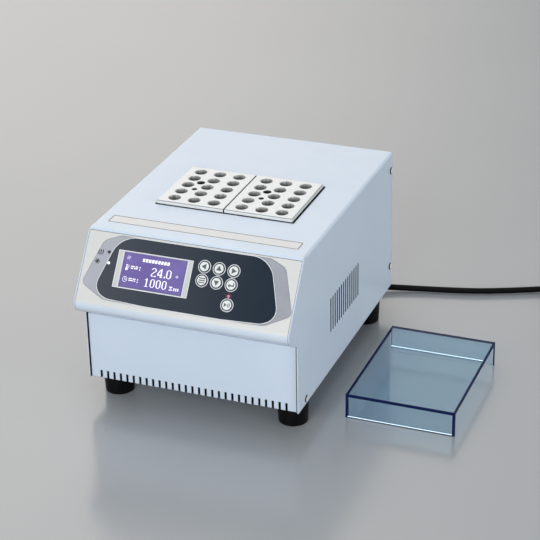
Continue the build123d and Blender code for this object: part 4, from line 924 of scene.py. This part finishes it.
# Readout: dot-matrix figures, a row of blocks above them, and small pictograms beside them
glyphs = {
    "0": ["..####..", ".##..##.", "##....##", "##....##", "##....##", "##....##", "##....##", "##....##", "##....##", "##....##", "##....##", "##....##", ".##..##.", "..####.."],
    "1": ["...##...", "..###...", ".####...", "...##...", "...##...", "...##...", "...##...", "...##...", "...##...", "...##...", "...##...", "...##...", "...##...", ".######."],
    "2": ["..####..", ".##..##.", "##....##", "......##", "......##", ".....##.", "....##..", "...##...", "..##....", ".##.....", "##......", "##......", "##....##", "########"],
    "4": [".....##.", "....###.", "...####.", "..##.##.", "..##.##.", ".##..##.", ".##..##.", "##...##.", "##...##.", "########", "########", ".....##.", ".....##.", "....####"],
    ".": ["...", "...", "...", "...", "...", "...", "...", "...", "...", "...", "...", ".##", ".##", ".##"],
    "degree": [".###.", "#...#", "#...#", "#...#", ".###.", ".....", ".....", ".....", ".....", "....."],
    "thermometer": ["..###...", "..#.#.##", "..#.#...", "..#.#.##", "..#.#...", "..###.##", "..###...", ".#####..", ".#####..", ".#####..", "..###..."],
    "clock": ["...#####...", "..#.....#..", ".#...#...#.", ".#...#...#.", ".#...#...#.", ".#...####..", ".#.......#.", ".#.......#.", "..#.....#..", "...#####..."],
    "glass": ["#######", ".#####.", "..###..", "...#...", "..#.#..", ".#.#.#.", "#######"],
    "fan": ["..##...#.", "..###.###", "...##.##.", "##.#####.", "####.####", ".#####.##", ".##.##...", "###.###..", ".#...##.."],
    "colon": ["##", "##", "..", "..", "##", "##"],
}
CELL = 0.545
DISP = (-39.0, -36.4, 69.5, 36.1)


def dots(glyph, left, top, cell, fill=0.94, wide=1.0):
    out = []
    for r, row in enumerate(glyphs[glyph]):
        for c, ch in enumerate(row):
            if ch == "#":
                x, y = left + c * cell * wide, top - r * cell
                w, h = cell * wide * fill, cell * fill
                out.append(([(x, y - h), (x + w, y - h), (x + w, y), (x, y)], -0.7))
    return out


figures = []
x = -40.8
for ch in "24.0":
    figures += dots(ch, x, -30.4, 0.64, wide=1.1)
    x += 2.9 if ch == "." else 6.8
figures += dots("degree", -13.6, -34.6, 0.5)
x = -46.4
for ch in "1000":
    figures += dots(ch, x, -42.0, 0.62, wide=1.05)
    x += 6.5
decal("readout_figures", figures, on_face, "instrument", M["digit"], 0.03)
small = []
for i in range(9):
    x = -52.5 + i * 3.4
    small.append(([(x, -25.9), (x + 2.5, -25.9), (x + 2.5, -22.5), (x, -22.5)], -0.7))
pale = dots("fan", -70.3, -21.6, 0.46)
decal("readout_fan_sign", pale, on_face, "instrument", M["digit_dim"], 0.03)
small += dots("thermometer", -70.6, -30.7, 0.56)
small += dots("clock", -71.2, -43.4, 0.54)
for top, widths in ((-31.6, (4.2, 2.6)), (-33.5, (2.6, 4.2)), (-44.3, (3.4, 3.4)), (-46.2, (5.0, 1.8))):
    x = -64.0
    for w in widths:
        small.append(([(x, top - 1.0), (x + w, top - 1.0), (x + w, top), (x, top)], -0.7))
        x += w + 0.9
small += dots("colon", -54.6, -31.8, 0.6)
small += dots("colon", -54.6, -44.5, 0.6)
small += dots("glass", -18.6, -46.6, 0.56)
for i, w in enumerate((1.2, 1.2, 1.2)):
    small.append(([(-13.6 + 2.2 * i, -50.4), (-13.6 + 2.2 * i + w, -50.4), (-13.6 + 2.2 * i + w, -47.6), (-13.6 + 2.2 * i, -47.6)], -0.7))
decal("readout_signs", small, on_face, "instrument", M["digit"], 0.03)

# Pictograms beside the two lamps: a warm wavy sign and a cold star
marks = []
for i in range(3):
    x0 = -103.4 + i * 2.3
    marks.append(([(x0, -23.6), (x0 + 1.1, -23.6), (x0 + 1.8, -21.6), (x0 + 1.1, -19.6), (x0, -19.6), (x0 + 0.7, -21.6)], -0.3))
marks.append(([(-103.6, -24.8), (-97.4, -24.8), (-97.4, -24.1), (-103.6, -24.1)], -0.3))
for a in (0, 60, 120):
    c, s = math.cos(math.radians(a)), math.sin(math.radians(a))
    w = 0.5
    marks.append(([(-102.0 + c * 2.9 + s * w, -32.2 + s * 2.9 - c * w), (-102.0 + c * 2.9 - s * w, -32.2 + s * 2.9 + c * w),
                   (-102.0 - c * 2.9 - s * w, -32.2 - s * 2.9 + c * w), (-102.0 - c * 2.9 + s * w, -32.2 - s * 2.9 - c * w)], -0.3))
decal("lamp_signs", marks, on_face, "instrument", M["dark_ink"], 0.03)

# Outlined strip on the cover, its inside left plain
strip_top = 194.5


def on_cover(x, y, o):
    return at(x, y, strip_top + o)


ring_strip("strip_outline", rounded_rect(210.4, 16.1, 2.0, 0, -263.6), rounded_rect(208.6, 14.3, 1.2, 0, -263.6), on_cover, 0.0, "instrument", M["dark_ink"], 0.03)

# Filter foam behind the lower front panel's slots, bent with them under the base
bm = bmesh.new()
fold = [(-307.2, 41.0), (-307.2, 32.2), (-306.4, 30.4), (-304.2, 29.6), (-286.0, 29.6), (-286.0, 31.0), (-303.8, 31.0), (-305.0, 31.6), (-305.5, 32.8), (-305.5, 41.0)]
ends = [[bm.verts.new(at(fx, fy, fz)) for fy, fz in fold] for fx in (-112.5, 112.5)]
for i in range(len(fold)):
    j = (i + 1) % len(fold)
    bm.faces.new((ends[0][i], ends[1][i], ends[1][j], ends[0][j]))
bm.faces.new(list(reversed(ends[0])))
bm.faces.new(ends[1])
bmesh.ops.recalc_face_normals(bm, faces=bm.faces)
me = bpy.data.meshes.new("slot_filter")
bm.to_mesh(me)
bm.free()
add_object("slot_filter", me, "instrument", M["foam"])

# Painted shade: a black rubber ring in the gap between the cover's opening and the blocks, its thin lip over the
# opening's edge, stands in for the dark of the shaded gap
M["seal"] = rubber("seal_rubber", rgb(5, 5, 6), rgb(10, 10, 11), 0.6, 0.00003)
ring_strip("gap_seal", rounded_rect(155.1, 98.9, 0.8, 0.8, -165.8), rounded_rect(153.5, 96.2, 0.5, 0.8, -165.8), lambda x, y, o: at(x, y, 192.85 + o), 0.0, "instrument", M["seal"], 1.6)
ring_strip("gap_shade_lip", rounded_rect(156.2, 98.9, 0.8, 1.35, -165.8), rounded_rect(153.2, 96.2, 0.5, 0.8, -165.8), lambda x, y, o: at(x, y, 194.52 + o), 0.0, "instrument", M["seal"], 0.3)

# Rocker legends
lo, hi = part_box("power_rocker")


def rocker_face(x, y, o):
    """On the standing half of the rocker: x to the left seen from behind, y up."""
    c, s = math.cos(math.radians(7)), math.sin(math.radians(7))
    a, b = 6.6 + (y / -11.0 if y < 0 else y / 11.0) + 0.02 + o, y
    return at(8.0 - x, -7.5 + c * a - s * b, 112.0 + s * a + c * b)


decal("rocker_signs", [([(-0.4, 4.0), (0.4, 4.0), (0.4, 8.0), (-0.4, 8.0)], 0.0)], rocker_face, "rocker", M["white_ink"], 0.03)
ring_strip("rocker_ring", disc(0, -6.0, 2.2, 32), disc(0, -6.0, 1.5, 32), rocker_face, 0.0, "rocker", M["white_ink"], 0.03)

# Light caught along the foot of the lid's walls, with the dark of the cut under it
def lid_edge(name, y, low_z, high_z, mat, end=267.25):
    bm = bmesh.new()
    pts = [(149.75, y), (end, y), (end, y + 0.5), (149.75, y + 0.5)]
    low = [bm.verts.new(at(px, py, low_z)) for px, py in pts]
    top = [bm.verts.new(at(px, py, high_z)) for px, py in pts]
    bm.faces.new(top)
    bm.faces.new(list(reversed(low)))
    for i in range(4):
        j = (i + 1) % 4
        bm.faces.new((low[i], low[j], top[j], top[i]))
    me = bpy.data.meshes.new(name)
    bm.to_mesh(me)
    bm.free()
    return add_object(name, me, "lid", M[mat])


M["edge_glow"] = glowing("acrylic_edge_glow", rgb(232, 240, 246), 0.9)
M["edge_bright"] = glowing("acrylic_edge_bright", rgb(250, 246, 240), 1.3)
M["edge_dark"] = ink("acrylic_edge_dark", rgb(12, 24, 40), 0.4, rgb(18, 32, 50))
lid_edge("lid_front_edge_glow", -255.55, 0.95, 1.65, "edge_glow")
lid_edge("lid_front_edge_dark", -255.55, 0.02, 0.85, "edge_dark")
lid_edge("lid_rear_edge_glow", -98.05, 3.0, 3.75, "edge_bright", 257.0)
lid_edge("lid_rear_edge_dark", -98.05, 1.95, 2.9, "edge_dark", 257.0)

# ------------------------------------------------------------------ bench and light
bench = bpy.data.meshes.new("bench")
bm = bmesh.new()
ring = []
for x, y, z in ((-6, -4, 0), (6, -4, 0), (6, 7, 0), (-6, 7, 0)):
    ring.append(bm.verts.new((x, y, z - 0.0004)))
bm.faces.new(ring)
bm.to_mesh(bench)
bm.free()
floor = bpy.data.objects.new("bench", bench)
bpy.context.scene.collection.objects.link(floor)
k = Mat("bench_top", rgb(160, 163, 165), 0.2, spec=0.9)
k.base(k.mix(k.span(k.noise(3, 3, 0.5), 0.0, 1.0), rgb(160, 162, 164), rgb(164, 166, 168)))
k.roughness(k.span(k.noise(6, 4, 0.6), 0.17, 0.22))
floor.data.materials.append(k.m)


def area(name, place, aim, size, power, tint=(1, 1, 1), size_y=None):
    d = bpy.data.lights.new(name, "AREA")
    d.shape = "RECTANGLE"
    d.size = size
    d.size_y = size_y or size
    d.energy = power
    d.color = tint
    o = bpy.data.objects.new(name, d)
    bpy.context.scene.collection.objects.link(o)
    o.location = place
    o.rotation_euler = (Vector(aim) - Vector(place)).to_track_quat("-Z", "Y").to_euler()
    return o


area("key", (-0.35, 0.15, 2.3), (-0.05, 0, 0.1), 1.7, 12, (1.0, 0.995, 0.985))
area("front", (-0.3, -3.0, 1.3), (-0.05, -0.1, 0.1), 1.8, 49, (0.925, 0.965, 1.0))
area("fill", (2.6, -0.8, 0.62), (0, 0, 0.1), 1.1, 23.5, (0.93, 0.97, 1.0))

# Sky: even and faintly cool, with a broad bright panel low behind on the left
world = bpy.data.worlds.new("studio")
world.use_nodes = True
nt = world.node_tree
co = nt.nodes.new("ShaderNodeTexCoord")
panel = Vector((-0.6635, 0.748, 0.50)).normalized()
dot = nt.nodes.new("ShaderNodeVectorMath")
dot.operation = "DOT_PRODUCT"
nt.links.new(co.outputs["Generated"], dot.inputs[0])
dot.inputs[1].default_value = panel
fall = nt.nodes.new("ShaderNodeMapRange")
fall.interpolation_type = "SMOOTHSTEP"
fall.inputs["From Min"].default_value = math.cos(math.radians(36))
fall.inputs["From Max"].default_value = math.cos(math.radians(8))
nt.links.new(dot.outputs["Value"], fall.inputs["Value"])
even = nt.nodes["Background"]
even.inputs["Color"].default_value = (0.90, 0.95, 1.0, 1)
even.inputs["Strength"].default_value = 0.40
glow = nt.nodes.new("ShaderNodeBackground")
glow.inputs["Color"].default_value = (1.0, 0.95, 0.89, 1)
glow.inputs["Strength"].default_value = 1.9
blend = nt.nodes.new("ShaderNodeMixShader")
nt.links.new(fall.outputs["Result"], blend.inputs[0])
nt.links.new(even.outputs[0], blend.inputs[1])
nt.links.new(glow.outputs[0], blend.inputs[2])
nt.links.new(blend.outputs[0], nt.nodes["World Output"].inputs["Surface"])
bpy.context.scene.world = world
